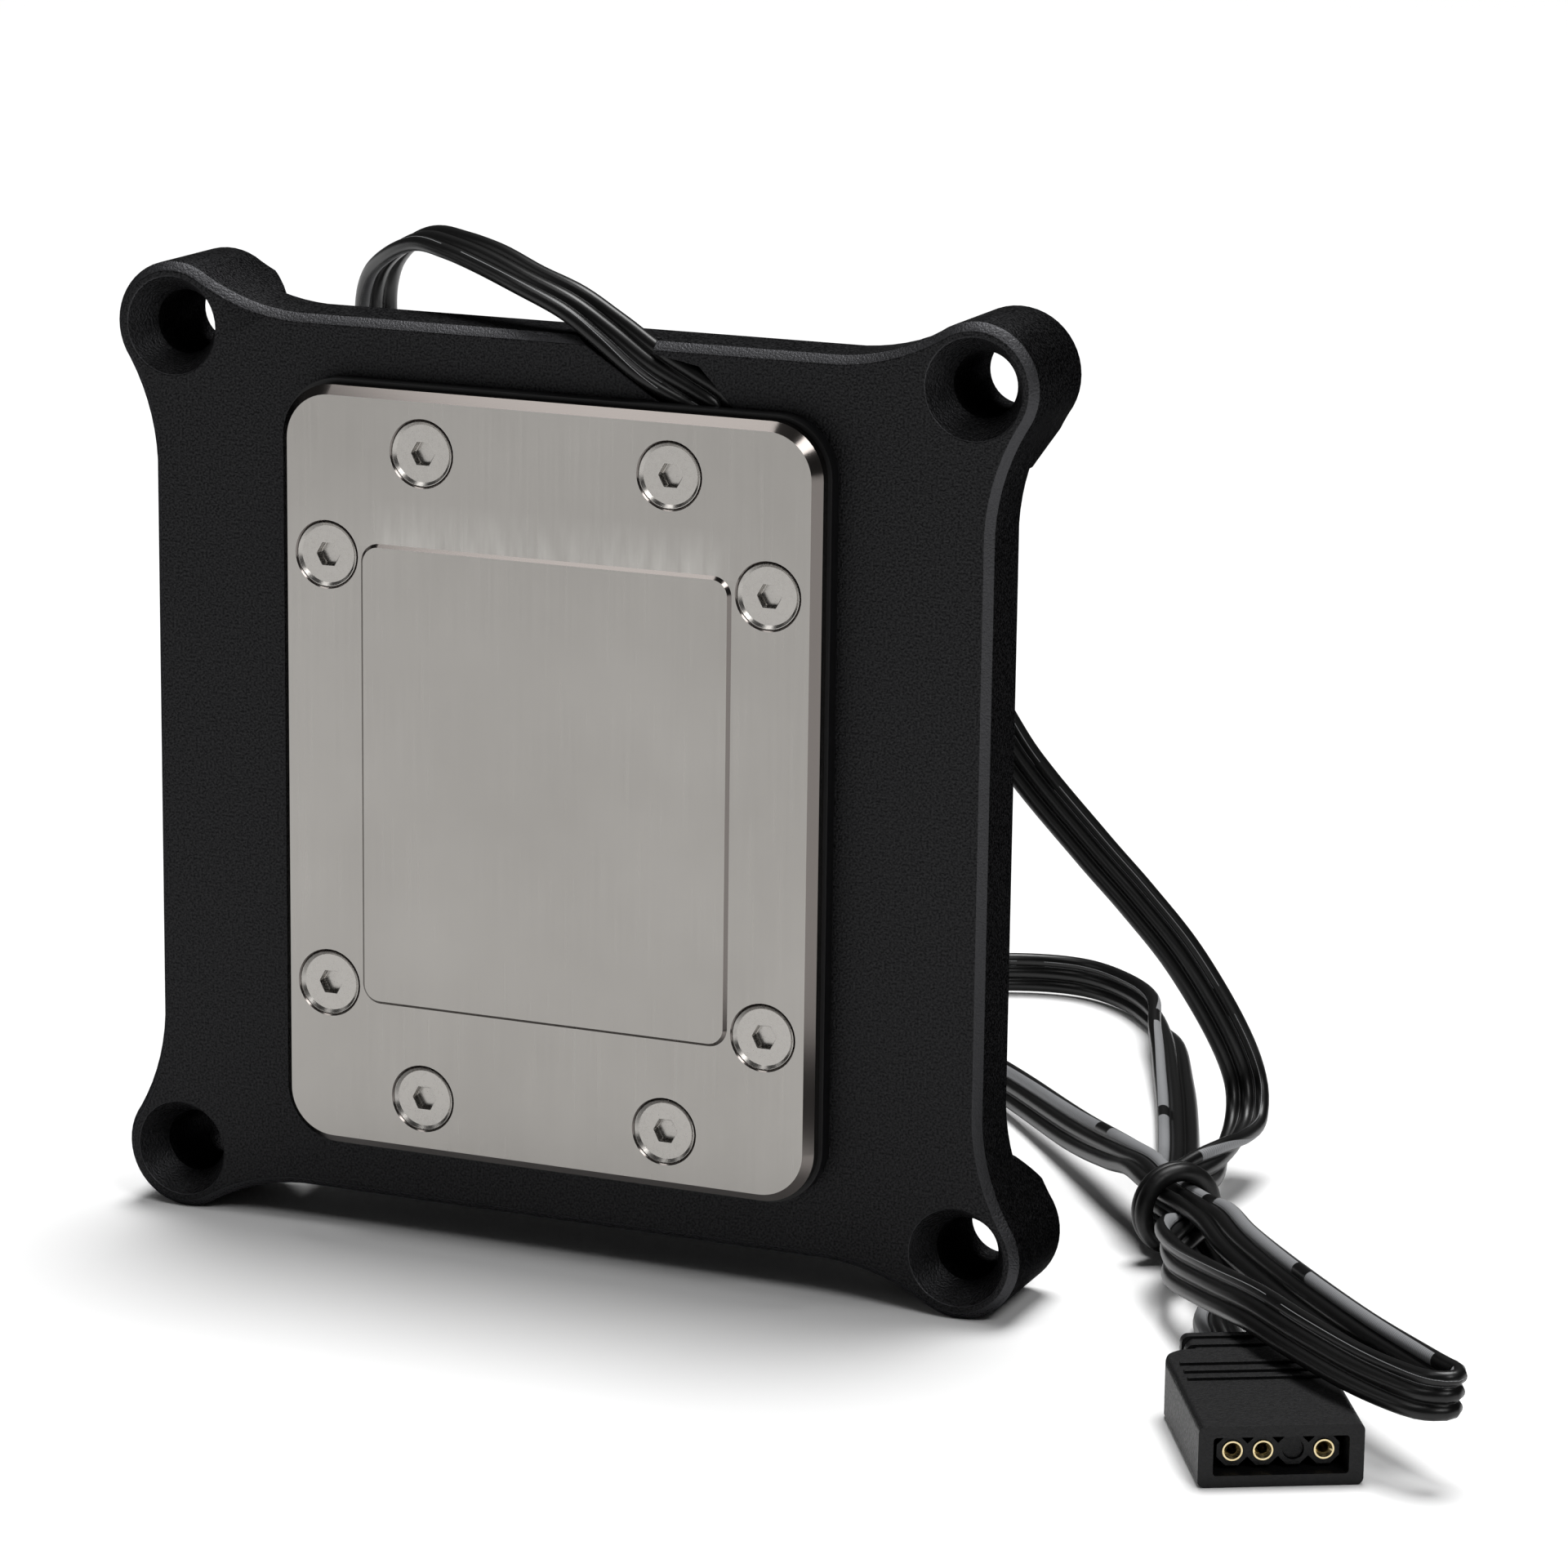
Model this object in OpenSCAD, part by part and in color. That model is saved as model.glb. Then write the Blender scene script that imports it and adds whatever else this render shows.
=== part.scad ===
// Liquid-cooling block for a desktop processor, with the lead of its lighting.
// Sizes are in millimetres. The block stands on its two lower ears.
// The cold side faces -Y, the two ports face +Y and Z is up.

/* [Mounting frame] */
// Width and height of the frame's square middle
body_size = 82; // [80:0.5:86]
// Height of the frame's bars, from its edge to the body's core
bar_h = 7.8; // [7.4:0.1:8.4]
// Distance between the corner bores, across and up
hole_pitch = 78; // [76:0.5:80]
// Radius of the round ears
ear_r = 5.8; // [5.2:0.1:6.4]
// Radius of the hollow curve between an ear and a side
hollow_r = 20; // [14:1:24]
// Thickness of the frame's middle
frame_t = 7.5; // [7:0.25:9]
// Thickness at the ears
ear_t = 12; // [10:0.5:13]
// Radius of the boss behind an ear, where it meets the frame
boss_r = 8.2; // [7:0.2:9]
// Chamfer along the frame's edges
frame_chamfer = 0.75; // [0.4:0.05:1]
// Diameter of the corner bores
corner_bore = 5.9; // [5:0.1:6.2]
// Diameter of a corner countersink at the face
corner_sink = 9.1; // [7.5:0.1:9.6]
// Depth of a corner countersink
corner_sink_depth = 3; // [2:0.25:4]
// Depth of the groove for the lead
groove_depth = 2.2; // [2:0.1:2.6]

/* [Cold plate] */
// Distance from the side screws to the cold plate's side edge
plate_edge = 4.75; // [4.5:0.05:5.2]
// Amount by which the cold plate stands past the core at its top and bottom
plate_over = 2.1; // [1.8:0.1:2.4]
// Corner radius of the cold plate
plate_r = 5; // [3:0.5:7]
// Thickness of the cold plate's rim
plate_t = 1.8; // [1.6:0.1:2.4]
// Chamfer round the cold plate's front
plate_chamfer = 0.8; // [0.4:0.1:1.2]
// Distance from the side screws to the raised contact area
pad_side = 3.75; // [3.7:0.05:5]
// Distance from the end screws to the raised contact area
pad_end = 8.8; // [7.8:0.1:10]
// Height of the step up to the contact area
pad_step = 0.3; // [0.2:0.05:0.5]
// Thickness of one cooling fin
fin_t = 0.5; // [0.3:0.05:0.6]
// Distance from one fin to the next
fin_pitch = 1.2; // [1:0.1:1.5]
// Height of the fins
fin_h = 3.2; // [2.6:0.1:3.4]
// Gap between the fins' ends and the chamber's wall
fin_end_gap = 3.5; // [3:0.1:5]

/* [Cold plate screws] */
// Distance between the two screws at the top, and at the bottom
end_pair_w = 24.1; // [20:0.1:26]
// Distance from the end screws to the core's edge
end_edge = 3.35; // [3.2:0.05:4]
// Distance between the screws at the left and at the right
side_pair_w = 43.1; // [42.6:0.1:43.4]
// Height from the upper side screws to the lower ones
side_pair_h = 39.9; // [36:0.1:44]
// Diameter of a countersink in the cold plate
sink_d = 6.3; // [6:0.1:6.4]
// Diameter of a screw's head
head_d = 5.9; // [5.6:0.1:6]
// Diameter of a screw's shank
shank_d = 2.9; // [2.6:0.1:3]
// Width of the socket across its flats
socket_af = 2; // [1.8:0.1:2.2]
// Length of a threaded insert
insert_l = 5; // [4:0.25:5.25]
// Outer diameter of a threaded insert
insert_d = 4.1; // [3.8:0.1:4.2]

/* [Body] */
// Distance from the side screws to the side of the core that passes through the frame
core_edge = 3.45; // [3.2:0.05:4]
// Clearance between the core and the frame's window
core_gap = 0.2; // [0.1:0.05:0.3]
// Amount by which the flange stands out round the cold plate
flange_lip = 0.4; // [0.2:0.05:0.6]
// Thickness of the flange
flange_t = 1.5; // [1.3:0.1:2]
// Distance from the side screws to the wall of the water chamber
chamber_side = 5.35; // [5.1:0.05:5.6]
// Height of the core above and below the water chamber
chamber_end = 14.7; // [14:0.1:15.5]
// Thickness of the wall behind the chamber
wall_t = 3; // [2.75:0.25:3.25]
// Diameter of the chamber's seal before it is pressed
seal_d = 1.8; // [1.7:0.05:1.9]
// Thickness of the jet plate
jet_t = 0.5; // [0.3:0.1:0.8]
// Width of the slot in the jet plate
jet_slot = 2; // [1.2:0.1:3]

/* [Port block] */
// Width of the port block
block_w = 58; // [56:0.5:60]
// Amount by which the port block stands past the core at its top and bottom
block_over = 0.2; // [0.1:0.05:0.4]
// Thickness of the port block
block_t = 11.7; // [11:0.1:13]
// Distance between the two ports
port_spread = 27; // [25:0.5:28]
// Bore of a G1/4 port
port_bore = 11.44; // [11.4:0.02:11.8]
// Depth of a port
port_depth = 8.9; // [8:0.1:9]
// Depth of the water channels
channel_depth = 3.5; // [2.5:0.1:3.6]

/* [Rear cover] */
// Width of the rear cover
cover_w = 68; // [66:0.5:70]
// Distance from the frame's top edge to the rear cover's
cover_inset = 3; // [2.5:0.25:3.5]
// Corner radius of the rear cover
cover_r = 9; // [7:0.5:11]
// Thickness of the cover's walls and back
cover_t = 1.2; // [1:0.1:1.6]
// Width of the opening round the ports
window_w = 48; // [46:0.5:49]
// Height of the cover above and below the opening
window_edge = 16; // [15:0.5:17]

/* [Lighting] */
// Length of the light board
board_l = 48; // [44:1:50]
// Depth of the light board
board_d = 5.5; // [5.2:0.1:6]
// Thickness of the light board
board_t = 1; // [0.8:0.1:1.2]
// Side of a light-emitting diode
led_size = 3.5; // [3:0.1:3.5]
// Distance from one diode to the next
led_pitch = 8; // [7.8:0.1:8.2]

/* [Lead, tie and socket] */
// Width of the three-wire lead
lead_w = 4.2; // [3.6:0.1:4.2]
// Thickness of the lead
lead_t = 1.4; // [1.2:0.05:1.4]
// Diameter of the tie's wire
tie_wire = 1.7; // [1.4:0.1:1.8]
// Inner diameter of the tie
tie_bore = 6.1; // [6.1:0.1:6.5]
// Width of the socket's shell
shell_w = 13.8; // [13.4:0.1:14.4]
// Height of the socket's shell
shell_h = 5.3; // [5.1:0.1:5.5]
// Length of the socket's shell
shell_l = 19.2; // [18:0.2:20]
// Width of the shell's neck
neck_w = 8.2; // [7.4:0.2:9]
// Length of the shell's neck
neck_l = 5; // [4.8:0.1:6]
// Depth of the mouth in the shell
mouth_depth = 9; // [8:0.25:10]
// Distance from one contact to the next
contact_pitch = 2.54; // [2.5:0.01:2.6]
// Outer diameter of a contact
contact_d = 1.7; // [1.5:0.05:1.75]

/* [Hidden] */
$fn = 32;
eps = 0.02;
hole_half = hole_pitch / 2;
body_half = body_size / 2;
stand_z = hole_half + ear_r;
// Sizes that follow from the frame and from the places of the side screws
core_h = body_size - 2 * bar_h;
core_w = side_pair_w + 2 * core_edge;
plate_w = side_pair_w + 2 * plate_edge;
plate_h = core_h + 2 * plate_over;
end_pair_h = core_h - 2 * end_edge;
pad_w = side_pair_w - 2 * pad_side;
pad_h = end_pair_h - 2 * pad_end;
chamber_w = side_pair_w - 2 * chamber_side;
chamber_h = core_h - 2 * chamber_end;
fin_l = chamber_h - 2 * fin_end_gap;
block_h = core_h + 2 * block_over;
cover_h = body_size - 2 * cover_inset;
window_h = cover_h - 2 * window_edge;
// Levels along Y, from the contact area at the front to the ports at the rear
y_plate = -flange_t;
y_face = y_plate - plate_t;
y_pad = y_face - pad_step;
y_fins = y_plate + fin_h;
y_jet = y_fins + jet_t;
y_wall = frame_t - wall_t;
y_block = frame_t + block_t;
y_rear = y_block + cover_t;
mid_y = (y_pad + y_rear) / 2;
// Places of the screws in the cold plate: [x, z]
plate_screw_at = [for (sx = [-1, 1], sz = [-1, 1]) each [
    [sx * end_pair_w / 2, sz * end_pair_h / 2],
    [sx * side_pair_w / 2, sz * side_pair_h / 2]]];
block_screw_x = 20;
block_screw_edge = 4.7;
block_screw_at = [for (x = [-block_screw_x, 0, block_screw_x], sz = [-1, 1])
    [x, sz * (core_h / 2 - block_screw_edge)]];
cover_screw_in = 8.4;
cover_screw_side = 8.5;
cover_screw_at = [for (sx = [-1, 1], sz = [-1, 1])
    [sx * (cover_w / 2 - cover_screw_side), sz * (cover_h / 2 - cover_screw_in)]];
window_gap = 0.2;
fin_count = 2 * floor((chamber_w - 2.4) / 2 / fin_pitch) + 1;
seal_squeeze = 0.15;
ring_d = 1.5;
// Seals behind the body: round the way in, and round both ways out
inner_ring_x = 7.1;
inner_ring_w = 28.2;
inner_ring_h = 12.4;
outer_ring_w = core_w - 2.8;
outer_ring_h = chamber_h + 5;
outlet_z = chamber_h / 2 - 1.8;
rim_t = 0.15;
shaft_gap = 0.15;
led_h = 1.6;
board_z = block_h / 2 + led_h;
notch_x = 15;
notch_w = lead_w + 0.8;
lead_z = board_z - lead_t / 2;
tie_at = [51, 17];
tie_turn = -46.2;
plug_at = [78.4, -36.2];
plug_turn = 28.5;
plug_z = shell_h / 2;
tail = shell_l + neck_l;
rear_r = 2.8;
lead_end = [plug_at[0] - tail * sin(plug_turn), plug_at[1] + tail * cos(plug_turn), plug_z];

// The lead's route: a point on its middle, then the direction of its width
route = [
    // from the light board, through the notch and up the groove
    [notch_x, 9.1 - mid_y, stand_z + lead_z, -1, 0, 0],
    [notch_x, 5.4 - mid_y, stand_z + lead_z, -1, 0, 0],
    [notch_x, 2.5 - mid_y, stand_z + lead_z, -1, 0, 0],
    [15, -7, 79.6, -1, 0.1, -0.2],
    [14.4, -7.5, 80.6, -0.9, 0, -0.4],
    [12.5, -7.5, 81.6, -0.6, 0, -0.8],
    [8.5, -7.8, 83.7, -0.5, -0.4, -0.7],
    [4.5, -7.6, 86.3, -0.3, -0.7, -0.6],
    // over the top edge and down behind the block
    [0.5, -7, 88.5, -0.1, -0.8, -0.5],
    [-4.5, -5.5, 90, 0, -0.9, -0.4],
    [-9.5, -3, 91.2, 0, -0.9, -0.4],
    [-14, -0.5, 91.8, 0, -1, -0.3],
    [-18.5, 2.5, 91.8, -0.1, -1, -0.2],
    [-23, 6, 90.1, -0.3, -0.9, -0.2],
    [-27, 10, 87, -0.5, -0.9, -0.1],
    [-29.5, 14, 82, -0.6, -0.8, 0],
    [-30, 17.5, 74, -0.8, -0.4, -0.3],
    [-24.5, 21.5, 66, -0.6, 0.4, -0.6],
    [-12, 26.5, 60.5, -0.2, 0.9, -0.4],
    [2, 31.5, 57.5, 0.3, 1, 0],
    [13, 36, 54, 0.6, 0.8, 0.4],
    [20.5, 38.5, 48.5, 0.7, 0.5, 0.6],
    // down at the right to the tie
    [26.5, 40, 39.5, 0.7, 0.4, 0.6],
    [33, 42, 31.5, 0.7, 0.4, 0.6],
    [37.5, 43, 26.5, 0.7, 0.4, 0.6],
    [42, 44, 21, 0.7, 0.4, 0.6],
    [46, 45.5, 14, 0.8, 0.4, 0.5],
    [48, 46, 9, 0.9, 0.4, 0.2],
    [49, 43.5, 5.8, 1, 0.1, 0.1],
    [49.5, 38.5, 4.8, 0.8, 0, 0.6],
    [49.7, 33, 4.6, 0, 0, 1],
    [49, 28, 4.5, -0.8, -0.1, 0.6],
    [48, 23.5, 4.5, -0.9, -0.4, 0.1],
    [48.3, 19.8, 4.75, -0.7, -0.7, 0],
    [51, 17, 4.75, -0.7, -0.7, 0],
    [53.7, 14.2, 4.75, -0.7, -0.7, 0],
    // the lower band, over the socket to the fold
    [53.7, 10.2, 4.9, -0.7, -0.5, 0.4],
    [53.9, 6.2, 4.8, -0.3, -0.3, 0.9],
    [56.7, 0.2, 5.1, 0.2, 0.2, 0.95],
    [62.7, -8, 6.5, 0.4, 0.3, 0.85],
    [69, -15.8, 7.9, 0.5, 0.4, 0.8],
    [75.3, -22.6, 8.3, 0.5, 0.4, 0.8],
    [82, -28, 8.1, 0.5, 0.4, 0.8],
    [87.5, -31.4, 8.1, 0.3, 0.3, 0.9],
    [89.9, -32, 8.2, 0.2, 0.2, 1],
    [91.3, -31.3, 8.3, 0.1, 0.1, 1],
    [91, -29.9, 8.4, 0.1, 0.1, 1],
    [88.5, -28.2, 8.5, 0.3, 0.2, 0.9],
    // the upper band, back through the tie
    [80.3, -20.5, 8.4, 0.5, 0.4, 0.8],
    [70.2, -8.5, 7.8, 0.5, 0.4, 0.75],
    [62.1, 2.2, 7.2, 0.6, 0.5, 0.6],
    [57.4, 9.2, 7.1, 0.7, 0.6, 0.3],
    [53.7, 14.2, 6.4, 0.7, 0.7, 0],
    [51, 17, 6.25, 0.7, 0.7, 0],
    [48.3, 19.8, 6.25, 0.7, 0.7, 0],
    [45, 24.5, 6.1, 0.7, 0.6, 0.2],
    [41, 29.5, 5.2, 0.6, 0.6, 0.5],
    [33, 39.5, 3.7, 0.4, 0.4, 0.8],
    [22, 52.5, 2.9, 0.2, 0.2, 1],
    // round behind the block and back on the surface
    [10, 65, 2.5, 0, 0, 1],
    [0, 74, 2.4, 0, 0, 1],
    [-4, 83, 2.4, 0, 0, 1],
    [-0.5, 91.5, 2.4, 0, 0, 1],
    [5.5, 96, 2.4, 0, 0, 1],
    [12.5, 97.2, 2.4, 0, 0, 1],
    [18.5, 94.2, 2.4, 0, 0, 1],
    [24, 88, 2.4, 0, 0, 1],
    [29, 78.5, 2.2, -0.8, -0.3, 0.5],
    [33.5, 67.5, 1.5, -0.9, -0.4, 0.2],
    [37.5, 57, 1.2, -0.9, -0.4, 0],
    [43, 41, 1.2, -0.9, -0.4, 0],
    [46, 29, 1.7, -0.9, -0.4, 0],
    [48.3, 19.8, 3.25, -0.7, -0.7, 0],
    [51, 17, 3.25, -0.7, -0.7, 0],
    [53.7, 14.2, 3.1, -0.7, -0.7, 0],
    // the last stretch, under both bands to the socket
    [56.8, 10.5, 2.3, -0.8, -0.6, 0],
    [60.2, 4.2, 1.6, -0.9, -0.4, 0],
    [61.9, -3.5, 1.7, -0.9, -0.4, 0],
    [64.5, -9.8, 2.4, -0.9, -0.5, 0],
    [lead_end[0], lead_end[1], lead_end[2], -cos(plug_turn), -sin(plug_turn), 0],
];

// Puts the block upright, in the middle of its depth
module stand() {
    translate([0, -mid_y, stand_z]) children();
}

// A flat outline, drawn in X and Z, made solid from y0 to y1
module slab(y0, y1) {
    translate([0, y1, 0]) rotate([90, 0, 0]) linear_extrude(height = y1 - y0) children();
}

// A round pin along Y
module pin(at, y0, y1, r) {
    translate([at[0], y0, at[1]]) rotate([-90, 0, 0]) cylinder(h = y1 - y0, r = r);
}

// A cone along Y, from radius r0 at y0 to r1 at y1
module cone(at, y0, y1, r0, r1) {
    translate([at[0], y0, at[1]]) rotate([-90, 0, 0]) cylinder(h = y1 - y0, r1 = r0, r2 = r1);
}

// A rounded rectangle
module rounded(w, h, r) {
    square([w - 2 * r, h], center = true);
    square([w, h - 2 * r], center = true);
    for (sx = [-1, 1], sz = [-1, 1])
        translate([sx * (w / 2 - r), sz * (h / 2 - r)]) circle(r = r);
}

// A bar along Z whose width changes from w0 at y0 to w1 at y1
module upright_wedge(w0, w1, y0, y1, length) {
    linear_extrude(height = length, center = true)
        polygon([[-w0 / 2, y0], [w0 / 2, y0], [w1 / 2, y1], [-w1 / 2, y1]]);
}

// A bar along X whose height changes from h0 at y0 to h1 at y1
module level_wedge(h0, h1, y0, y1, length) {
    rotate([90, 0, 90]) linear_extrude(height = length, center = true)
        polygon([[y0, -h0 / 2], [y0, h0 / 2], [y1, h1 / 2], [y1, -h1 / 2]]);
}

// A rounded plate whose outline grows by o0 at y0 and by o1 at y1
module tapered_plate(w, h, r, y0, y1, o0, o1) {
    upright_wedge(w + 2 * o0, w + 2 * o1, y0, y1, h - 2 * r);
    level_wedge(h + 2 * o0, h + 2 * o1, y0, y1, w - 2 * r);
    for (sx = [-1, 1], sz = [-1, 1])
        cone([sx * (w / 2 - r), sz * (h / 2 - r)], y0, y1, r + o0, r + o1);
}

// A closed ring of seal, pressed flat at the front and the rear
module seal_ring(w, h, r, d, y0, y1) {
    module section() {
        intersection() {
            circle(r = d / 2, $fn = 16);
            square([2 * d, y1 - y0], center = true);
        }
    }
    translate([0, (y0 + y1) / 2, 0]) rotate([90, 0, 0]) {
        for (sx = [-1, 1], sy = [-1, 1])
            translate([sx * (w / 2 - r), sy * (h / 2 - r), 0])
                rotate([0, 0, sx > 0 ? (sy > 0 ? 0 : -90) : (sy > 0 ? 90 : 180)])
                    rotate_extrude(angle = 90) translate([r, 0]) section();
        for (sx = [-1, 1])
            translate([sx * w / 2, 0, 0]) rotate([90, 0, 0])
                linear_extrude(height = h - 2 * r, center = true) section();
        for (sy = [-1, 1])
            translate([0, sy * h / 2, 0]) rotate([90, 0, 90])
                linear_extrude(height = w - 2 * r, center = true) section();
    }
}

// The groove that holds such a ring
module seal_groove(w, h, r, width, y0, y1) {
    difference() {
        slab(y0, y1) rounded(w + width, h + width, r + width / 2);
        slab(y0 - 1, y1 + 1) rounded(w - width, h - width, r - width / 2);
    }
}

// The frame's outline made solid, with a chamfer at the front and at the rear
module frame_blank(depth, c) {
    centre_x = body_half + hollow_r - eps;
    reach = centre_x - hole_half;
    drop = sqrt(pow(hollow_r + ear_r - eps, 2) - reach * reach);
    centre_z = hole_half - drop;
    // square middle
    intersection() {
        union() {
            upright_wedge(body_size - 2 * c, body_size, 0, c, body_size);
            upright_wedge(body_size, body_size, c, depth - c, body_size);
            upright_wedge(body_size, body_size - 2 * c, depth - c, depth, body_size);
        }
        union() {
            level_wedge(body_size - 2 * c, body_size, 0, c, body_size);
            level_wedge(body_size, body_size, c, depth - c, body_size);
            level_wedge(body_size, body_size - 2 * c, depth - c, depth, body_size);
        }
    }
    // round ears
    for (sx = [-1, 1], sz = [-1, 1]) {
        cone([sx * hole_half, sz * hole_half], 0, c, ear_r - c, ear_r);
        pin([sx * hole_half, sz * hole_half], c, depth - c, ear_r);
        cone([sx * hole_half, sz * hole_half], depth - c, depth, ear_r, ear_r - c);
    }
    // hollow curves between the ears and the sides
    for (quarter = [0:90:270], flip = [0, 1])
        rotate([0, quarter, 0]) mirror([flip, 0, 0]) difference() {
            slab(0, depth) polygon([[hole_half, hole_half], [centre_x, centre_z],
                [hole_half, centre_z]]);
            cone([centre_x, centre_z], -eps, c, hollow_r + c + eps, hollow_r, $fn = 96);
            pin([centre_x, centre_z], c - eps, depth - c + eps, hollow_r, $fn = 96);
            cone([centre_x, centre_z], depth - c, depth + eps, hollow_r, hollow_r + c + eps,
                $fn = 96);
        }
}

module mounting_frame() {
    color("#1b1b1d") stand() difference() {
        union() {
            frame_blank(frame_t, frame_chamfer);
            intersection() {
                frame_blank(ear_t, frame_chamfer);
                for (sx = [-1, 1], sz = [-1, 1]) {
                    pin([sx * hole_half, sz * hole_half], frame_t / 2, frame_t, boss_r);
                    cone([sx * hole_half, sz * hole_half], frame_t, ear_t, boss_r, ear_r);
                }
            }
        }
        // window for the body's core
        slab(-1, frame_t + 1) rounded(core_w + 2 * core_gap, core_h + 2 * core_gap, 3.2);
        // corner bores and their countersinks
        for (sx = [-1, 1], sz = [-1, 1]) {
            pin([sx * hole_half, sz * hole_half], -1, ear_t + 1, corner_bore / 2);
            cone([sx * hole_half, sz * hole_half], -eps, corner_sink_depth,
                corner_sink / 2, corner_bore / 2);
        }
        // groove and notch for the lead
        slab(-1, groove_depth) polygon([[1, body_half + 1], [8.9, body_half + 1],
            [8.9, body_half - 1.1], [13.3, body_half - 1.9], [18.2, body_half - 7],
            [18.2, body_half - 8.5], [12.3, body_half - 8.5], [12.3, body_half - 7.1],
            [1, body_half + 0.2]]);
        slab(-1, frame_t + 1) translate([notch_x, lead_z + 0.1])
            square([notch_w, lead_t + 0.6], center = true);
    }
}

module cold_plate() {
    color("#9a9793") stand() {
        difference() {
            union() {
                tapered_plate(plate_w, plate_h, plate_r, y_face, y_face + plate_chamfer,
                    -plate_chamfer, 0);
                slab(y_face + plate_chamfer, y_plate) rounded(plate_w, plate_h, plate_r);
                // the raised area, its edge sloped down to the face
                tapered_plate(pad_w, pad_h, 1.5, y_pad, y_face, 0, pad_step);
                slab(y_face - eps, y_face + 0.5) rounded(pad_w, pad_h, 1.5);
            }
            for (at = plate_screw_at) {
                cone(at, y_face - eps, y_face + sink_d / 2 - screw_hole_r(),
                    sink_d / 2 + eps, screw_hole_r());
                pin(at, y_face, y_plate + 1, screw_hole_r());
            }
        }
        for (i = [0:fin_count - 1])
            translate([(i - (fin_count - 1) / 2) * fin_pitch, (y_plate + y_fins) / 2, 0])
                cube([fin_t, y_fins - y_plate, fin_l], center = true);
    }
}

function screw_hole_r() = shank_d / 2 + shaft_gap;

// Height of the cone under a flat head that stands in its countersink
function seat_y() = y_face + sink_d / 2 - head_d / 2;

module cold_plate_screws() {
    color("#b9bbbd") stand() for (at = plate_screw_at) difference() {
        union() {
            pin(at, seat_y() - rim_t, seat_y(), head_d / 2);
            cone(at, seat_y(), seat_y() + head_d / 2 - shank_d / 2, head_d / 2, shank_d / 2);
            pin(at, seat_y(), y_plate + insert_l - 0.8, shank_d / 2);
        }
        translate([at[0], seat_y() - 1, at[1]]) rotate([-90, 0, 0])
            cylinder(h = 1.95, r = socket_af / sqrt(3), $fn = 6);
    }
}

module threaded_inserts() {
    color("#b08d4a") stand() for (at = plate_screw_at) difference() {
        pin(at, y_plate, y_plate + insert_l, insert_d / 2);
        pin(at, y_plate - 1, y_plate + insert_l + 1, shank_d / 2 + 0.1);
    }
}

module chamber_seal() {
    color("#202020") stand()
        seal_ring(chamber_w + 3.6, chamber_h + 7, 4, seal_d, y_plate,
            y_plate + seal_d - seal_squeeze);
}

module jet_plate() {
    color("#a8aaad") stand() difference() {
        slab(y_fins, y_jet) square([chamber_w - 0.8, fin_l], center = true);
        slab(y_fins - 1, y_jet + 1) square([24, jet_slot], center = true);
    }
}

module flow_insert() {
    color("#d8d8d4") stand() difference() {
        slab(y_jet, y_wall) square([chamber_w - 0.8, fin_l], center = true);
        slab(y_jet - 1, y_wall + 1) square([24, 6], center = true);
    }
}

module block_body() {
    color("#141414") stand() difference() {
        union() {
            slab(y_plate, 0)
                rounded(plate_w + 2 * flange_lip, plate_h + 2 * flange_lip, plate_r + flange_lip);
            slab(-0.5, frame_t) rounded(core_w, core_h, 3);
        }
        slab(y_plate - 1, y_wall) rounded(chamber_w, chamber_h, 3);
        seal_groove(chamber_w + 3.6, chamber_h + 7, 4, seal_d + 0.2, y_plate - 1,
            y_plate + seal_d - seal_squeeze);
        for (at = plate_screw_at) pin(at, y_plate - 1, y_plate + insert_l, insert_d / 2);
        // way in for the water, and the two ways out
        slab(y_wall - 1, frame_t + 1) square([10, 6], center = true);
        for (sz = [-1, 1])
            slab(y_wall - 1, frame_t + 1) translate([0, sz * outlet_z]) square([20, 3.2], center = true);
        // grooves for the rear seals
        translate([inner_ring_x, 0, 0]) seal_groove(inner_ring_w, inner_ring_h, 3, ring_d + 0.2,
            frame_t - ring_d + seal_squeeze, frame_t + 1);
        seal_groove(outer_ring_w, outer_ring_h, 4, ring_d + 0.2,
            frame_t - ring_d + seal_squeeze, frame_t + 1);
        for (at = block_screw_at) pin(at, frame_t - 4.5, frame_t + 1, 1.5);
    }
}

module channel_seals() {
    color("#202020") stand() {
        translate([inner_ring_x, 0, 0]) seal_ring(inner_ring_w, inner_ring_h, 3, ring_d,
            frame_t - ring_d + seal_squeeze, frame_t);
        seal_ring(outer_ring_w, outer_ring_h, 4, ring_d, frame_t - ring_d + seal_squeeze, frame_t);
    }
}

module port_block() {
    port_x = port_spread / 2;
    y_port = y_rear - port_depth;
    y_channel = frame_t + channel_depth;
    color("#dfe6e8") stand() difference() {
        union() {
            slab(frame_t, y_block) rounded(block_w, block_h, 5);
            slab(y_block - 0.5, y_rear)
                rounded(window_w - 2 * window_gap, window_h - 2 * window_gap, 3.8);
        }
        for (sx = [-1, 1]) {
            pin([sx * port_x, 0], y_port, y_rear + 1, port_bore / 2);
            pin([sx * port_x, 0], y_channel - 0.5, y_port + 0.5, 4);
        }
        // channel from the inlet to the middle
        slab(frame_t - 1, y_channel) translate([inner_ring_x, 0])
            square([inner_ring_w - 4, inner_ring_h - 4], center = true);
        // channel from above and below the middle to the outlet
        slab(frame_t - 1, y_channel) {
            translate([-port_x, 0]) square([8, 2 * outlet_z + 4], center = true);
            for (sz = [-1, 1])
                translate([-3.75, sz * outlet_z]) square([27.5, 4], center = true);
        }
        for (at = block_screw_at) {
            pin(at, frame_t - 1, y_block + 1, 1.6);
            pin(at, y_block - 3.2, y_block + 1, 3.1);
        }
        for (at = cover_screw_at) pin(at, y_block - 5, y_block + 1, 1);
    }
}

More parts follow.
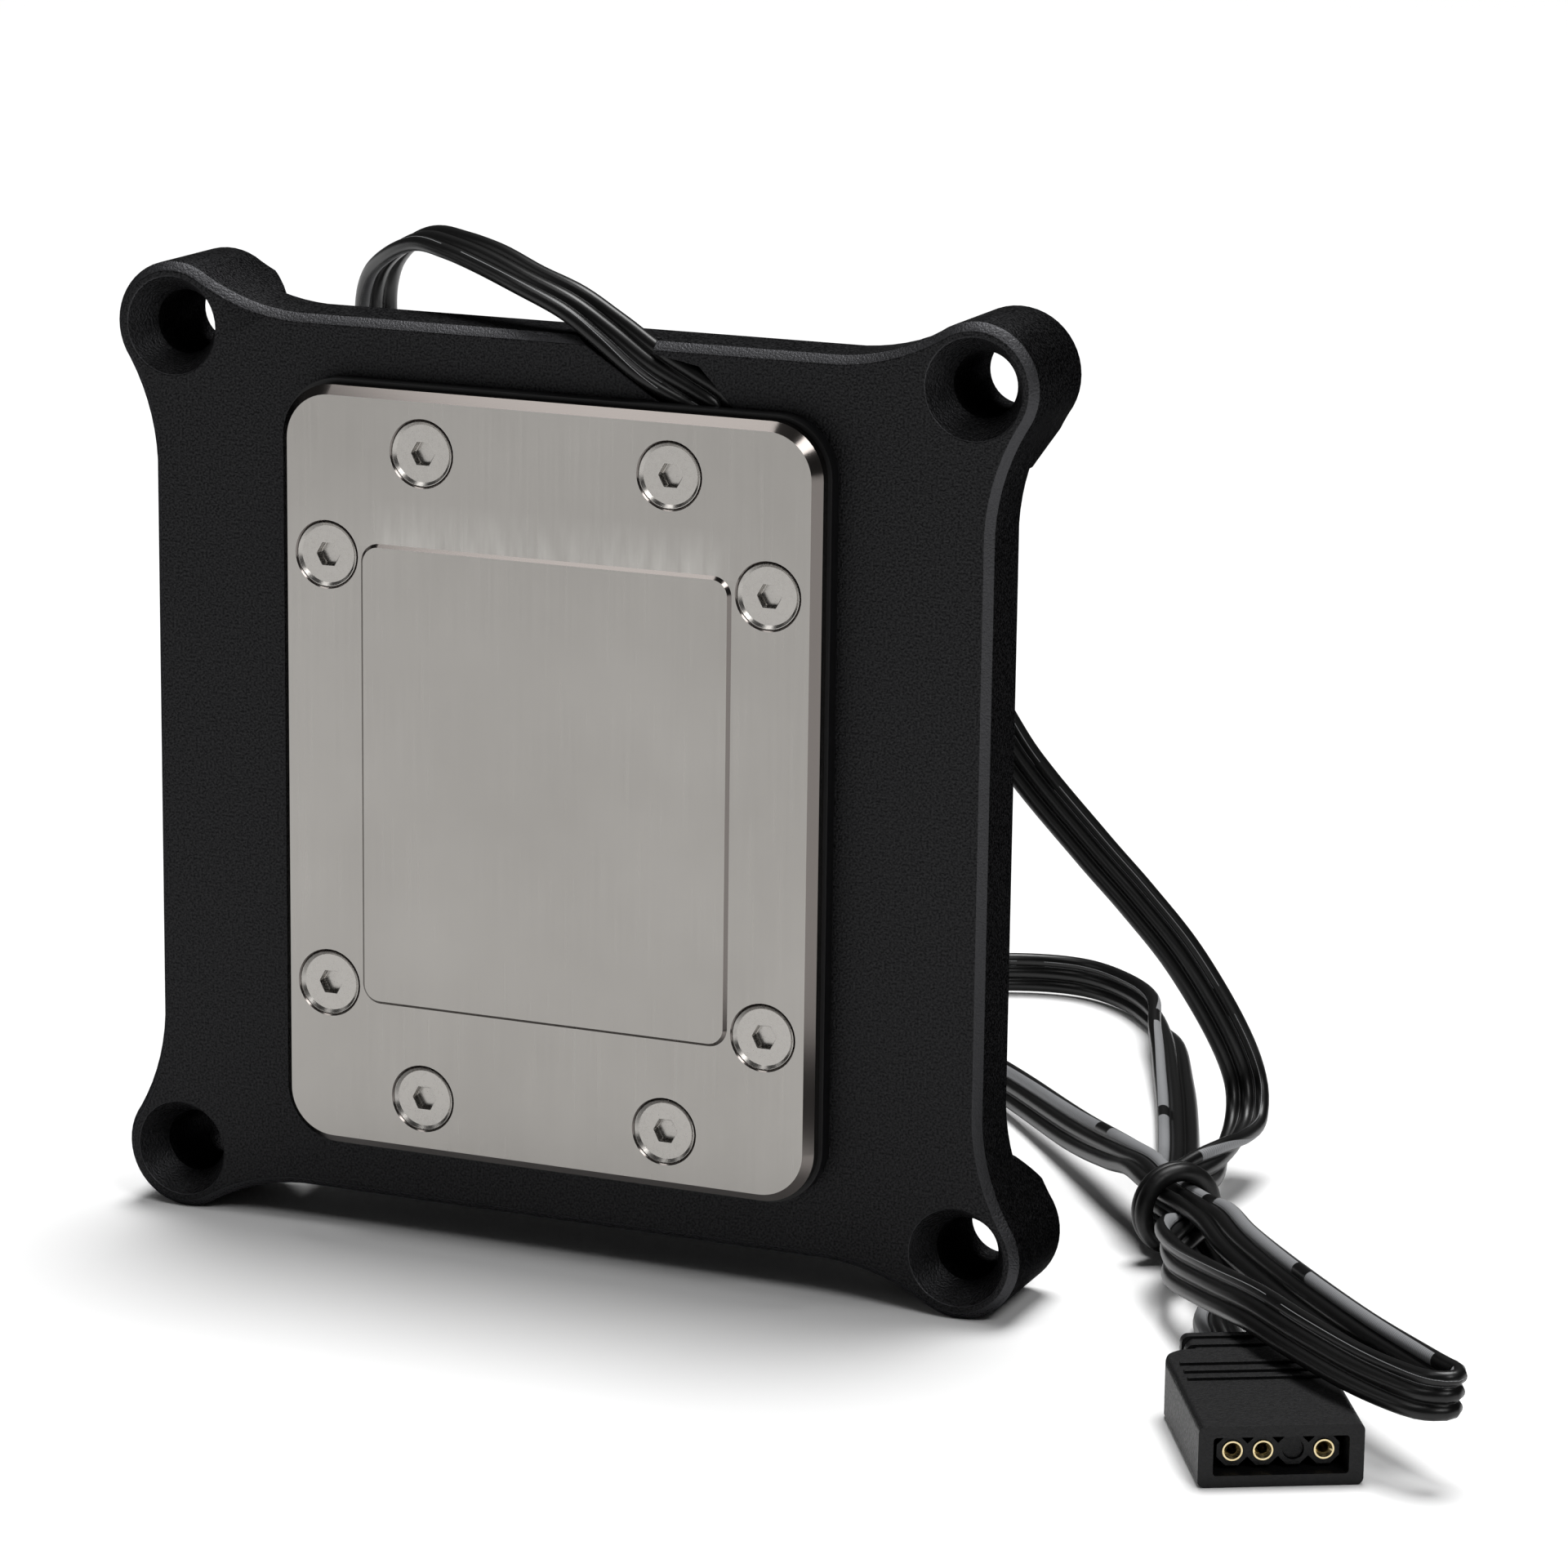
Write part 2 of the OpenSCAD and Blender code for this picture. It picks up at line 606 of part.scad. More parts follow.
module port_block_screws() {
    color("#2a2a2c") stand() for (at = block_screw_at) difference() {
        union() {
            pin(at, y_block - 3.2, y_block - 0.2, 2.75);
            pin(at, frame_t - 4.3, y_block - 3, 1.45);
        }
        translate([at[0], y_block - 1.8, at[1]]) rotate([-90, 0, 0])
            cylinder(h = 2, r = 2.5 / sqrt(3), $fn = 6);
    }
}

module rear_cover() {
    color("#1b1b1d") stand() difference() {
        union() {
            slab(frame_t, y_rear - 0.8) rounded(cover_w, cover_h, cover_r);
            slab(y_rear - 1, y_rear - 0.4) rounded(cover_w - 2, cover_h - 2, cover_r - 1);
            tapered_plate(cover_w, cover_h, cover_r, y_rear - 0.8, y_rear, 0, -0.8);
        }
        slab(frame_t - 1, y_block)
            rounded(cover_w - 2 * cover_t, cover_h - 2 * cover_t, cover_r - cover_t);
        slab(y_block - 1, y_rear + 1) rounded(window_w, window_h, 4);
        for (at = cover_screw_at) {
            pin(at, y_block - 1, y_rear + 1, 1.1);
            cone(at, y_rear - 0.85, y_rear + eps, 1.1, 1.95 + eps);
        }
    }
}

module cover_screws() {
    color("#2a2a2c") stand() for (at = cover_screw_at) difference() {
        union() {
            pin(at, y_block - 4.8, y_rear - 0.1, 0.95);
            cone(at, y_rear - 1, y_rear - 0.1, 0.95, 1.85);
        }
        translate([at[0], y_rear - 0.7, at[1]]) rotate([-90, 0, 0])
            cylinder(h = 2, r = 1.3 / sqrt(3), $fn = 6);
    }
}

module led_board() {
    color("#111613") stand() translate([-board_l / 2, frame_t, board_z])
        cube([board_l, board_d, board_t]);
}

module led_packages() {
    color("#e9e6da") stand() for (i = [0:5])
        translate([(i - 2.5) * led_pitch - led_size / 2, frame_t + board_d - led_size - 0.2,
            block_h / 2])
            cube([led_size, led_size, led_h]);
}

module led_capacitors() {
    color("#a58b68") stand() for (i = [0:5])
        translate([(i - 2.5) * led_pitch + 3.6, frame_t + 3.2, board_z - 0.5])
            cube([0.8, 1, 0.5]);
}

// Length of a vector, its unit vector, and the part of a that stands square to t
function unit(v) = v / norm(v);
function square_to(a, t) = unit(a - (a * t) * t);

// The flat lead: eight corners round each point of the route
module lead() {
    last = len(route) - 1;
    middle = [for (p = route) [p[0], p[1], p[2]]];
    along = [for (i = [0:last]) unit(middle[min(i + 1, last)] - middle[max(i - 1, 0)])];
    across = [for (i = [0:last]) square_to([route[i][3], route[i][4], route[i][5]], along[i])];
    w = lead_w / 2;
    t = lead_t / 2;
    corners = [[w, -0.4 * t], [w, 0.4 * t], [w - 0.5 * t, t], [0.5 * t - w, t],
        [-w, 0.4 * t], [-w, -0.4 * t], [0.5 * t - w, -t], [w - 0.5 * t, -t]];
    points = [for (i = [0:last], c = corners)
        middle[i] + c[0] * across[i] + c[1] * cross(along[i], across[i])];
    sides = [for (i = [0:last - 1], k = [0:7])
        let (a = i * 8 + k, b = i * 8 + (k + 1) % 8)
            each [[a, a + 8, b + 8], [a, b + 8, b]]];
    ends = [[for (k = [0:7]) k], [for (k = [7:-1:0]) last * 8 + k]];
    color("#151515") polyhedron(points = points, faces = concat(ends, sides));
}

module cable_tie() {
    ring_r = tie_bore / 2 + tie_wire / 2;
    color("#1a1a1a")
        translate([tie_at[0], tie_at[1], ring_r + tie_wire / 2]) rotate([0, 90, tie_turn])
            for (s = [-1, 1])
                translate([0, 0, s * tie_wire * 0.47])
                    rotate_extrude($fn = 36) translate([ring_r, 0]) circle(d = tie_wire, $fn = 14);
}

// Puts the socket on the surface, its mouth towards the viewer
module lay_socket() {
    translate([plug_at[0], plug_at[1], plug_z]) rotate([0, 0, plug_turn]) children();
}

module connector_shell() {
    color("#161616") lay_socket() difference() {
        union() {
            intersection() {
                slab(0, shell_l) rounded(shell_w, shell_h, 0.6);
                // the rear corners are round, seen from above
                linear_extrude(height = 2 * shell_h, center = true) union() {
                    translate([-shell_w / 2, 0]) square([shell_w, shell_l - rear_r]);
                    translate([-shell_w / 2 + rear_r, 0])
                        square([shell_w - 2 * rear_r, shell_l]);
                    for (sx = [-1, 1])
                        translate([sx * (shell_w / 2 - rear_r), shell_l - rear_r])
                            circle(r = rear_r);
                }
            }
            slab(shell_l - 1, tail) rounded(neck_w, shell_h - 0.6, 0.6);
            // ribs round the neck
            for (y = [shell_l + 1.2, shell_l + 3.4])
                slab(y, y + 0.9) rounded(neck_w + 0.8, shell_h - 0.1, 0.7);
            // finger ridges across the top
            for (y = [shell_l - 8, shell_l - 6.2, shell_l - 4.2])
                translate([-shell_w / 2 + 1, y, shell_h / 2 - 0.5]) cube([shell_w - 2, 0.5, 0.75]);
        }
        slab(-1, mouth_depth) rounded(shell_w - 2.5, shell_h - 2, 0.3);
    }
}

module connector_insert() {
    color("#1c1c1c") lay_socket() difference() {
        union() {
            for (i = [0:3])
                translate([(i - 1.5) * contact_pitch, 1.5, 0]) rotate([-90, 22.5, 0])
                    cylinder(h = mouth_depth - 1.5, r = 1.4, $fn = 8);
            slab(2, mouth_depth) square([3 * contact_pitch, 1.2], center = true);
            slab(mouth_depth - 2, mouth_depth) rounded(shell_w - 2.6, shell_h - 2.1, 0.3);
        }
        for (i = [0:3])
            pin([(i - 1.5) * contact_pitch, 0], 1, mouth_depth - 0.5, contact_d / 2 + 0.05);
    }
}

module connector_contacts() {
    color("#c9a24a") lay_socket() for (i = [0, 1, 3]) difference() {
        pin([(i - 1.5) * contact_pitch, 0], 1.35, mouth_depth - 0.5, contact_d / 2);
        pin([(i - 1.5) * contact_pitch, 0], 1, mouth_depth - 2, contact_d / 2 - 0.45);
        // the mouth opens out, to guide the pin in
        cone([(i - 1.5) * contact_pitch, 0], 1.35 - eps, 1.7, contact_d / 2 - 0.12,
            contact_d / 2 - 0.45);
    }
}

module connector_key_plug() {
    color("#1c1c1c") lay_socket()
        pin([0.5 * contact_pitch, 0], 1.8, mouth_depth - 0.5, contact_d / 2);
}

mounting_frame();
cold_plate();
cold_plate_screws();
threaded_inserts();
chamber_seal();
jet_plate();
flow_insert();
block_body();
channel_seals();
port_block();
port_block_screws();
rear_cover();
cover_screws();
led_board();
led_packages();
led_capacitors();
lead();
cable_tie();
connector_shell();
connector_insert();
connector_contacts();
connector_key_plug();
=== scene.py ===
# %% [markdown]
# # A processor's water block, in Blender
# The solids of this part were drawn in a CAD program and are loaded here as a fixed frame.
# Blender's work is what CAD leaves plain: the metal, the black finishes, the soft three-wire
# lead, the light and the camera. Everything is in metres, and the block faces -Y.

# %% Load the solids
import math

import bmesh
import bpy
from mathutils import Matrix, Vector


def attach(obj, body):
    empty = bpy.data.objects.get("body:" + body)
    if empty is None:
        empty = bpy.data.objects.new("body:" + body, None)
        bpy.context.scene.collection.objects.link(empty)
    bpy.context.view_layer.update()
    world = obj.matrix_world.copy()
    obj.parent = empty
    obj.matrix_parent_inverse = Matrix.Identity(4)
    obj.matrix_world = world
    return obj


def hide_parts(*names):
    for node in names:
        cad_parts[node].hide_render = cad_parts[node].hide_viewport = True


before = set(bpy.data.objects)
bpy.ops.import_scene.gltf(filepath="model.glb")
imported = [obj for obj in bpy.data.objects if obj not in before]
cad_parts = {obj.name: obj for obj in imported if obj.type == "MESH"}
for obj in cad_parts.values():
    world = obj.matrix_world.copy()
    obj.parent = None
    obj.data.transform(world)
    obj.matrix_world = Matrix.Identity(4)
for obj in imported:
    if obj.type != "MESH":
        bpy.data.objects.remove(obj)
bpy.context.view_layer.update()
MM = 0.001

# %% [markdown]
# ## The camera
# A product photographer uses a long lens from half a metre away, so that the square frame
# keeps its parallel edges. The place, turn and lens below were fitted to the four corner
# bores and the cold plate's screws. The turn is given as three plain rotations, because a
# camera at rest looks down -Z: lift it to the horizon, roll it a little, swing it round.

# %% The camera
CAMERA_AT, LENS = (0.206776, -0.451202, 0.161474), 128.32
SWING, HEIGHT, ROLL = 22.66, 13.38, 0.746
camera_data = bpy.data.cameras.new("product_camera")
camera_data.lens = LENS
camera_data.sensor_width = 36
camera_data.clip_start, camera_data.clip_end = 0.01, 20
camera = bpy.data.objects.new("product_camera", camera_data)
bpy.context.collection.objects.link(camera)
camera.matrix_world = (
    Matrix.Translation(CAMERA_AT)
    @ Matrix.Rotation(math.radians(SWING), 4, "Z")
    @ Matrix.Rotation(math.radians(90 - HEIGHT), 4, "X")
    @ Matrix.Rotation(math.radians(ROLL), 4, "Z")
)
bpy.context.scene.camera = camera
print("camera at", [round(v, 3) for v in camera.location], "lens", camera_data.lens)

# %% [markdown]
# ## Two helpers for finishes
# Colours on a screen are stored on a curve (sRGB), while Blender's light is linear, so one
# function turns a hex colour into linear numbers. A second adds a shader node: it takes the
# kind, the settings and what goes into its sockets, either a number or another node's output.
# `start_finish` makes a material with a Principled shader and a source of coordinates. Sizes
# in a pattern are real ones: a noise gets one over its grain, and `band_scale` works out the
# scale of a wave from the distance between its bands.

# %% Helpers for finishes
# a noise keeps mostly between these two values, so what it drives is counted from them
NOISE_RANGE = {"From Min": 0.3, "From Max": 0.7}


def linear(hex_colour):
    channels = [int(hex_colour[i:i + 2], 16) / 255 for i in (1, 3, 5)]
    return [c / 12.92 if c <= 0.04045 else ((c + 0.055) / 1.055) ** 2.4 for c in channels] + [1]


def add_node(tree, kind, settings=None, inputs=None):
    node = tree.nodes.new(kind)
    for name, value in (settings or {}).items():
        setattr(node, name, value)
    for name, value in (inputs or {}).items():
        if isinstance(value, bpy.types.NodeSocket):
            tree.links.new(value, node.inputs[name])
        else:
            node.inputs[name].default_value = value
    return node


def band_scale(apart):
    """The scale for bands so far apart: at 1, the wave turns 20 radians in a metre."""
    return 2 * math.pi / (20 * apart)


def start_finish(name, colour, roughness, metallic=0.0, ior=None):
    material = bpy.data.materials.new(name)
    material.use_nodes = True
    tree = material.node_tree
    shader = tree.nodes["Principled BSDF"]
    shader.inputs["Base Color"].default_value = linear(colour)
    shader.inputs["Roughness"].default_value = roughness
    shader.inputs["Metallic"].default_value = metallic
    if ior:
        shader.inputs["IOR"].default_value = ior
    return material, tree, shader, add_node(tree, "ShaderNodeTexCoord")


print("the hex grey #808080 is", round(linear("#808080")[0], 3), "of white's light")

# %% [markdown]
# ## The PVC of the lead
# Lighting leads are insulated with soft PVC, squeezed hot through a die, which leaves it
# glossy with faint lines along its length. One wire carries pale dashes so that nobody plugs
# it in the wrong way round. The pattern must follow the lead through every bend, so it reads
# the lead's own UV map: U is the distance along it and V the distance round it, in metres.

# %% The lead's finish
DASH, DASH_GAP, FIRST_GAP = 24.6 * MM, 3.1 * MM, 12.5 * MM
lead_pvc, tree, shader, coords = start_finish("extruded_pvc", "#080808", 0.34, ior=1.54)
shader.inputs["Specular IOR Level"].default_value = 0.3
place = add_node(tree, "ShaderNodeSeparateXYZ", inputs={"Vector": coords.outputs["UV"]})
# across the wire, a dash is a band a little over 1 mm wide round its middle
from_middle = add_node(tree, "ShaderNodeMath", {"operation": "ABSOLUTE"}, {0: place.outputs["Y"]})
across_dash = add_node(tree, "ShaderNodeMapRange", {"interpolation_type": "SMOOTHSTEP"}, {
    "Value": from_middle.outputs[0], "From Min": 0.53 * MM, "From Max": 0.6 * MM,
    "To Min": 1.0, "To Max": 0.0})
# along it, 25 mm are printed and 3 mm bare, counted from the middle of the first gap
from_gap = add_node(tree, "ShaderNodeMath", {"operation": "SUBTRACT"}, {
    0: place.outputs["X"], 1: FIRST_GAP})
step = add_node(tree, "ShaderNodeMath", {"operation": "PINGPONG"}, {
    0: from_gap.outputs[0], 1: (DASH + DASH_GAP) / 2})
along_dash = add_node(tree, "ShaderNodeMapRange", {"interpolation_type": "SMOOTHSTEP"}, {
    "Value": step.outputs[0], "From Min": DASH_GAP / 2 - 0.06 * MM,
    "From Max": DASH_GAP / 2 + 0.06 * MM, "To Min": 0.0, "To Max": 1.0})
printed = add_node(tree, "ShaderNodeMath", {"operation": "MULTIPLY"}, {
    0: across_dash.outputs[0], 1: along_dash.outputs[0]})
print("dashes every", round((DASH + DASH_GAP) / MM, 1), "mm")

# %% Its ink and its die lines
# the print's ink sits on the lines of a fine roller, 0.25 mm apart
ink_lines = add_node(tree, "ShaderNodeTexWave", {"wave_type": "BANDS", "bands_direction": "X"}, {
    "Vector": coords.outputs["UV"], "Scale": band_scale(0.25 * MM), "Distortion": 3.0,
    "Detail": 3.0})
ink = add_node(tree, "ShaderNodeMix", {"data_type": "RGBA"}, {
    0: ink_lines.outputs["Fac"], 6: linear("#6e6f71"), 7: linear("#8c8d8f")})
sheath = add_node(tree, "ShaderNodeMix", {"data_type": "RGBA"}, {
    0: printed.outputs[0], 6: linear("#080808"), 7: ink.outputs[2]})
tree.links.new(sheath.outputs[2], shader.inputs["Base Color"])
dull = add_node(tree, "ShaderNodeMapRange", None, {
    "Value": printed.outputs[0], "To Min": 0.34, "To Max": 0.6})
tree.links.new(dull.outputs[0], shader.inputs["Roughness"])
# die lines 0.12 mm wide, long along the lead
stretched = add_node(tree, "ShaderNodeMapping", None, {
    "Vector": coords.outputs["UV"], "Scale": (1 / (60 * MM), 1 / (0.24 * MM), 1)})
die_lines = add_node(tree, "ShaderNodeTexNoise", None, {
    "Vector": stretched.outputs[0], "Scale": 1.0, "Detail": 2.0})
bump = add_node(tree, "ShaderNodeBump", None, {
    "Strength": 0.25, "Distance": 0.02 * MM, "Height": die_lines.outputs["Fac"]})
tree.links.new(bump.outputs[0], shader.inputs["Normal"])
print("finish:", lead_pvc.name)

# %% [markdown]
# ## The lead's route
# The route is a list of points on the middle of the lead, each with the direction of its
# width: up the groove, over the top edge, down behind the block, through the tie, forward to
# a fold, back through the tie, round behind the block and forward again to the socket. They
# are the same points as in the CAD source, so the soft lead lies exactly where its solid is.

# %% The route
PLUG_AT, PLUG_TURN, TAIL = Vector((78.4, -36.2, 2.65)), math.radians(28.5), 24.2
lead_end = PLUG_AT + Vector((-TAIL * math.sin(PLUG_TURN), TAIL * math.cos(PLUG_TURN), 0))
ROUTE = [
    # from the light board, through the notch and up the groove
    (15, 0.7, 79.1, -1, 0, 0), (15, -3, 79.1, -1, 0, 0), (15, -5.9, 79.1, -1, 0, 0),
    (15, -7, 79.6, -1, 0.1, -0.2), (14.4, -7.5, 80.6, -0.9, 0, -0.4),
    (12.5, -7.5, 81.6, -0.6, 0, -0.8), (8.5, -7.8, 83.7, -0.5, -0.4, -0.7),
    (4.5, -7.6, 86.3, -0.3, -0.7, -0.6),
    # over the top edge and down behind the block
    (0.5, -7, 88.5, -0.1, -0.8, -0.5), (-4.5, -5.5, 90, 0, -0.9, -0.4),
    (-9.5, -3, 91.2, 0, -0.9, -0.4), (-14, -0.5, 91.8, 0, -1, -0.3),
    (-18.5, 2.5, 91.8, -0.1, -1, -0.2), (-23, 6, 90.1, -0.3, -0.9, -0.2),
    (-27, 10, 87, -0.5, -0.9, -0.1), (-29.5, 14, 82, -0.6, -0.8, 0),
    (-30, 17.5, 74, -0.8, -0.4, -0.3), (-24.5, 21.5, 66, -0.6, 0.4, -0.6),
    (-12, 26.5, 60.5, -0.2, 0.9, -0.4), (2, 31.5, 57.5, 0.3, 1, 0),
    (13, 36, 54, 0.6, 0.8, 0.4), (20.5, 38.5, 48.5, 0.7, 0.5, 0.6),
    # down at the right to the tie
    (26.5, 40, 39.5, 0.7, 0.4, 0.6), (33, 42, 31.5, 0.7, 0.4, 0.6),
    (37.5, 43, 26.5, 0.7, 0.4, 0.6), (42, 44, 21, 0.7, 0.4, 0.6),
    (46, 45.5, 14, 0.8, 0.4, 0.5), (48, 46, 9, 0.9, 0.4, 0.2), (49, 43.5, 5.8, 1, 0.1, 0.1),
    (49.5, 38.5, 4.8, 0.8, 0, 0.6), (49.7, 33, 4.6, 0, 0, 1), (49, 28, 4.5, -0.8, -0.1, 0.6),
    (48, 23.5, 4.5, -0.9, -0.4, 0.1), (48.3, 19.8, 4.75, -0.7, -0.7, 0),
    (51, 17, 4.75, -0.7, -0.7, 0), (53.7, 14.2, 4.75, -0.7, -0.7, 0),
    # the lower band, over the socket to the fold
    (53.7, 10.2, 4.9, -0.7, -0.5, 0.4), (53.9, 6.2, 4.8, -0.3, -0.3, 0.9),
    (56.7, 0.2, 5.1, 0.2, 0.2, 0.95), (62.7, -8, 6.5, 0.4, 0.3, 0.85),
    (69, -15.8, 7.9, 0.5, 0.4, 0.8), (75.3, -22.6, 8.3, 0.5, 0.4, 0.8),
    (82, -28, 8.1, 0.5, 0.4, 0.8), (87.5, -31.4, 8.1, 0.3, 0.3, 0.9),
    (89.9, -32, 8.2, 0.2, 0.2, 1), (91.3, -31.3, 8.3, 0.1, 0.1, 1),
    (91, -29.9, 8.4, 0.1, 0.1, 1), (88.5, -28.2, 8.5, 0.3, 0.2, 0.9),
    # the upper band, back through the tie
    (80.3, -20.5, 8.4, 0.5, 0.4, 0.8), (70.2, -8.5, 7.8, 0.5, 0.4, 0.75),
    (62.1, 2.2, 7.2, 0.6, 0.5, 0.6), (57.4, 9.2, 7.1, 0.7, 0.6, 0.3),
    (53.7, 14.2, 6.4, 0.7, 0.7, 0), (51, 17, 6.25, 0.7, 0.7, 0),
    (48.3, 19.8, 6.25, 0.7, 0.7, 0), (45, 24.5, 6.1, 0.7, 0.6, 0.2),
    (41, 29.5, 5.2, 0.6, 0.6, 0.5), (33, 39.5, 3.7, 0.4, 0.4, 0.8),
    (22, 52.5, 2.9, 0.2, 0.2, 1),
    # round behind the block and back on the surface
    (10, 65, 2.5, 0, 0, 1), (0, 74, 2.4, 0, 0, 1), (-4, 83, 2.4, 0, 0, 1),
    (-0.5, 91.5, 2.4, 0, 0, 1), (5.5, 96, 2.4, 0, 0, 1), (12.5, 97.2, 2.4, 0, 0, 1),
    (18.5, 94.2, 2.4, 0, 0, 1), (24, 88, 2.4, 0, 0, 1), (29, 78.5, 2.2, -0.8, -0.3, 0.5),
    (33.5, 67.5, 1.5, -0.9, -0.4, 0.2), (37.5, 57, 1.2, -0.9, -0.4, 0),
    (43, 41, 1.2, -0.9, -0.4, 0), (46, 29, 1.7, -0.9, -0.4, 0), (48.3, 19.8, 3.25, -0.7, -0.7, 0),
    (51, 17, 3.25, -0.7, -0.7, 0), (53.7, 14.2, 3.1, -0.7, -0.7, 0),
    # the last stretch, under both bands to the socket
    (56.8, 10.5, 2.3, -0.8, -0.6, 0), (60.2, 4.2, 1.6, -0.9, -0.4, 0),
    (61.9, -3.5, 1.7, -0.9, -0.4, 0), (64.5, -9.8, 2.4, -0.9, -0.5, 0),
    (*lead_end, -math.cos(PLUG_TURN), -math.sin(PLUG_TURN), 0),
]
middle = [Vector(p[:3]) * MM for p in ROUTE]
width_way = [Vector(p[3:]).normalized() for p in ROUTE]
print("route:", len(ROUTE), "points")

# %% A smooth line through the route
STATION = 0.9 * MM


def curved(points, i, t):
    """A point between points i and i + 1, on a smooth curve through them all."""
    a, b = points[max(i - 1, 0)], points[i]
    c, d = points[i + 1], points[min(i + 2, len(points) - 1)]
    return 0.5 * (2 * b + (c - a) * t + (2 * a - 5 * b + 4 * c - d) * t ** 2
                  + (3 * b - a - 3 * c + d) * t ** 3)


laid = []
for i in range(len(middle) - 1):
    parts = max(2, round((middle[i + 1] - middle[i]).length / STATION))
    for k in range(parts):
        laid.append((curved(middle, i, k / parts), curved(width_way, i, k / parts)))
laid.append((middle[-1], width_way[-1]))
centreline = [place for place, _ in laid]
lead_length = sum((b - a).length for a, b in zip(centreline, centreline[1:]))
print("lead:", len(laid), "stations,", round(lead_length / MM, 1), "mm long")

# %% [markdown]
# ## The ribbon
# Three round wires leave the die side by side, welded at their flanks. The ribbon is made
# here as the factory makes it: one three-lobed section, extruded straight, station by
# station, with a spin of no angle. Then each ring of the straight ribbon is carried to its
# station on the route, turned so that its width points the right way.

# %% The ribbon's section
WIRE_R, WIRE_GAP, VALLEY = 0.7 * MM, 1.4 * MM, 0.26 * MM


def lobe(centre, start, stop, count):
    """Points round one wire, from one angle to the other, in degrees."""
    for k in range(count):
        angle = math.radians(start + (stop - start) * k / (count - 1))
        yield centre + WIRE_R * math.cos(angle), WIRE_R * math.sin(angle)


dip = math.degrees(math.asin(VALLEY / WIRE_R))
section = [*lobe(WIRE_GAP, dip - 180, 180 - dip, 17), *lobe(0, dip, 180 - dip, 8),
           *lobe(-WIRE_GAP, dip, 360 - dip, 17), *lobe(0, 180 + dip, 360 - dip, 8)]
ribbon = bmesh.new()
ring = [ribbon.verts.new((x, y, 0)) for x, y in section]
edges = [ribbon.edges.new((a, b)) for a, b in zip(ring, ring[1:] + ring[:1])]
ribbon_width = max(x for x, _ in section) - min(x for x, _ in section)
print("section:", len(section), "points,", round(ribbon_width / MM, 2), "mm wide")

# %% The ribbon, extruded and laid
bmesh.ops.spin(ribbon, geom=ring + edges, cent=(0, 0, 0), axis=(0, 0, 1), angle=0.0,
               dvec=(0, 0, 1), steps=len(laid) - 1, space=Matrix.Identity(4),
               use_merge=False, use_normal_flip=False, use_duplicate=False)
bmesh.ops.holes_fill(ribbon, edges=[e for e in ribbon.edges if e.is_boundary], sides=0)
# the first and last rings close the tube; every vertex knows its station from its height
distance = [0.0]
for a, b in zip(centreline, centreline[1:]):
    distance.append(distance[-1] + (b - a).length)
uv = ribbon.loops.layers.uv.new("along_and_round")
for face in ribbon.faces:
    for loop in face.loops:
        x, y, z = loop.vert.co
        # round the wire at the ribbon's +X edge, measured from the middle of its lower side
        turn = math.atan2(x - WIRE_GAP, -y) if x > 0.6 * WIRE_GAP else math.pi
        loop[uv].uv = (distance[round(z)], turn * WIRE_R)
for vertex in ribbon.verts:
    x, y, z = vertex.co
    here = round(z)
    spot, across = laid[here]
    along = (centreline[min(here + 1, len(laid) - 1)] - centreline[max(here - 1, 0)]).normalized()
    across = (across - along * across.dot(along)).normalized()
    vertex.co = spot + x * across + y * along.cross(across)
bmesh.ops.recalc_face_normals(ribbon, faces=ribbon.faces)
for face in ribbon.faces:
    face.smooth = len(face.verts) == 4
lead_mesh = bpy.data.meshes.new("three_wire_lead")
ribbon.to_mesh(lead_mesh)
ribbon.free()
lead_mesh.materials.append(lead_pvc)
lead = bpy.data.objects.new("three_wire_lead", lead_mesh)
bpy.context.collection.objects.link(lead)
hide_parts("lead")
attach(lead, "root")
print("ribbon:", len(lead_mesh.polygons), "faces")

# %% [markdown]
# ## Broken edges
# No real edge is quite sharp: tumbling rounds those of the screws, blasting those of the frame
# and the mould those of the socket. Such an edge catches a thin line of light, which a sharp
# one never does. Each solid is copied, its triangles are merged to whole faces, and a narrow
# bevel goes along every edge that turns by more than 30 degrees. The screws' heads sit a
# little below the plate, so the mouth of each countersink shows as a bright and dark ring:
# the head's face is inset, and all of it inside the new ring is pushed in. The cold plate's
# edges are cut crisply and stay so, and only its round corners are made smooth.

# %% A way to sink the screw heads
HEAD_RING, LONGEST_RIM_EDGE = 0.34 * MM, 0.9 * MM


def sink_heads(solid, depth):
    """Sink the flat face of each screw head, and leave a sloping ring round it."""
    front = min(v.co.y for v in solid.verts) + 0.01 * MM
    heads = [f for f in solid.faces if all(v.co.y < front for v in f.verts)]
    bmesh.ops.inset_region(solid, faces=heads, thickness=HEAD_RING, depth=0,
                           use_boundary=True, use_even_offset=True)
    solid.normal_update()
    flat = [v for v in solid.verts if v.co.y < front]
    # a head's outer circle has short edges, its hexagon has long ones
    rim = {v for v in flat for e in v.link_edges if e.calc_length() < LONGEST_RIM_EDGE
           and e.other_vert(v).co.y < front and any(f.normal.y > -0.9 for f in e.link_faces)}
    for vertex in flat:
        if vertex not in rim:
            vertex.co.y += depth
    print("heads:", len(heads), "faces,", len(rim), "points on their rims")


print("the ring round a head is", round(HEAD_RING / MM, 2), "mm wide")

# %% A way to round off the edges
# triangles that meet flatter than the first angle are one face, an edge that turns by more
# than the second is bevelled, and one that turns by less than the third is shaded as round
ONE_FACE, BEVELLED, SHADED_ROUND = [math.radians(turn) for turn in (0.5, 30, 14)]
rounded = {}


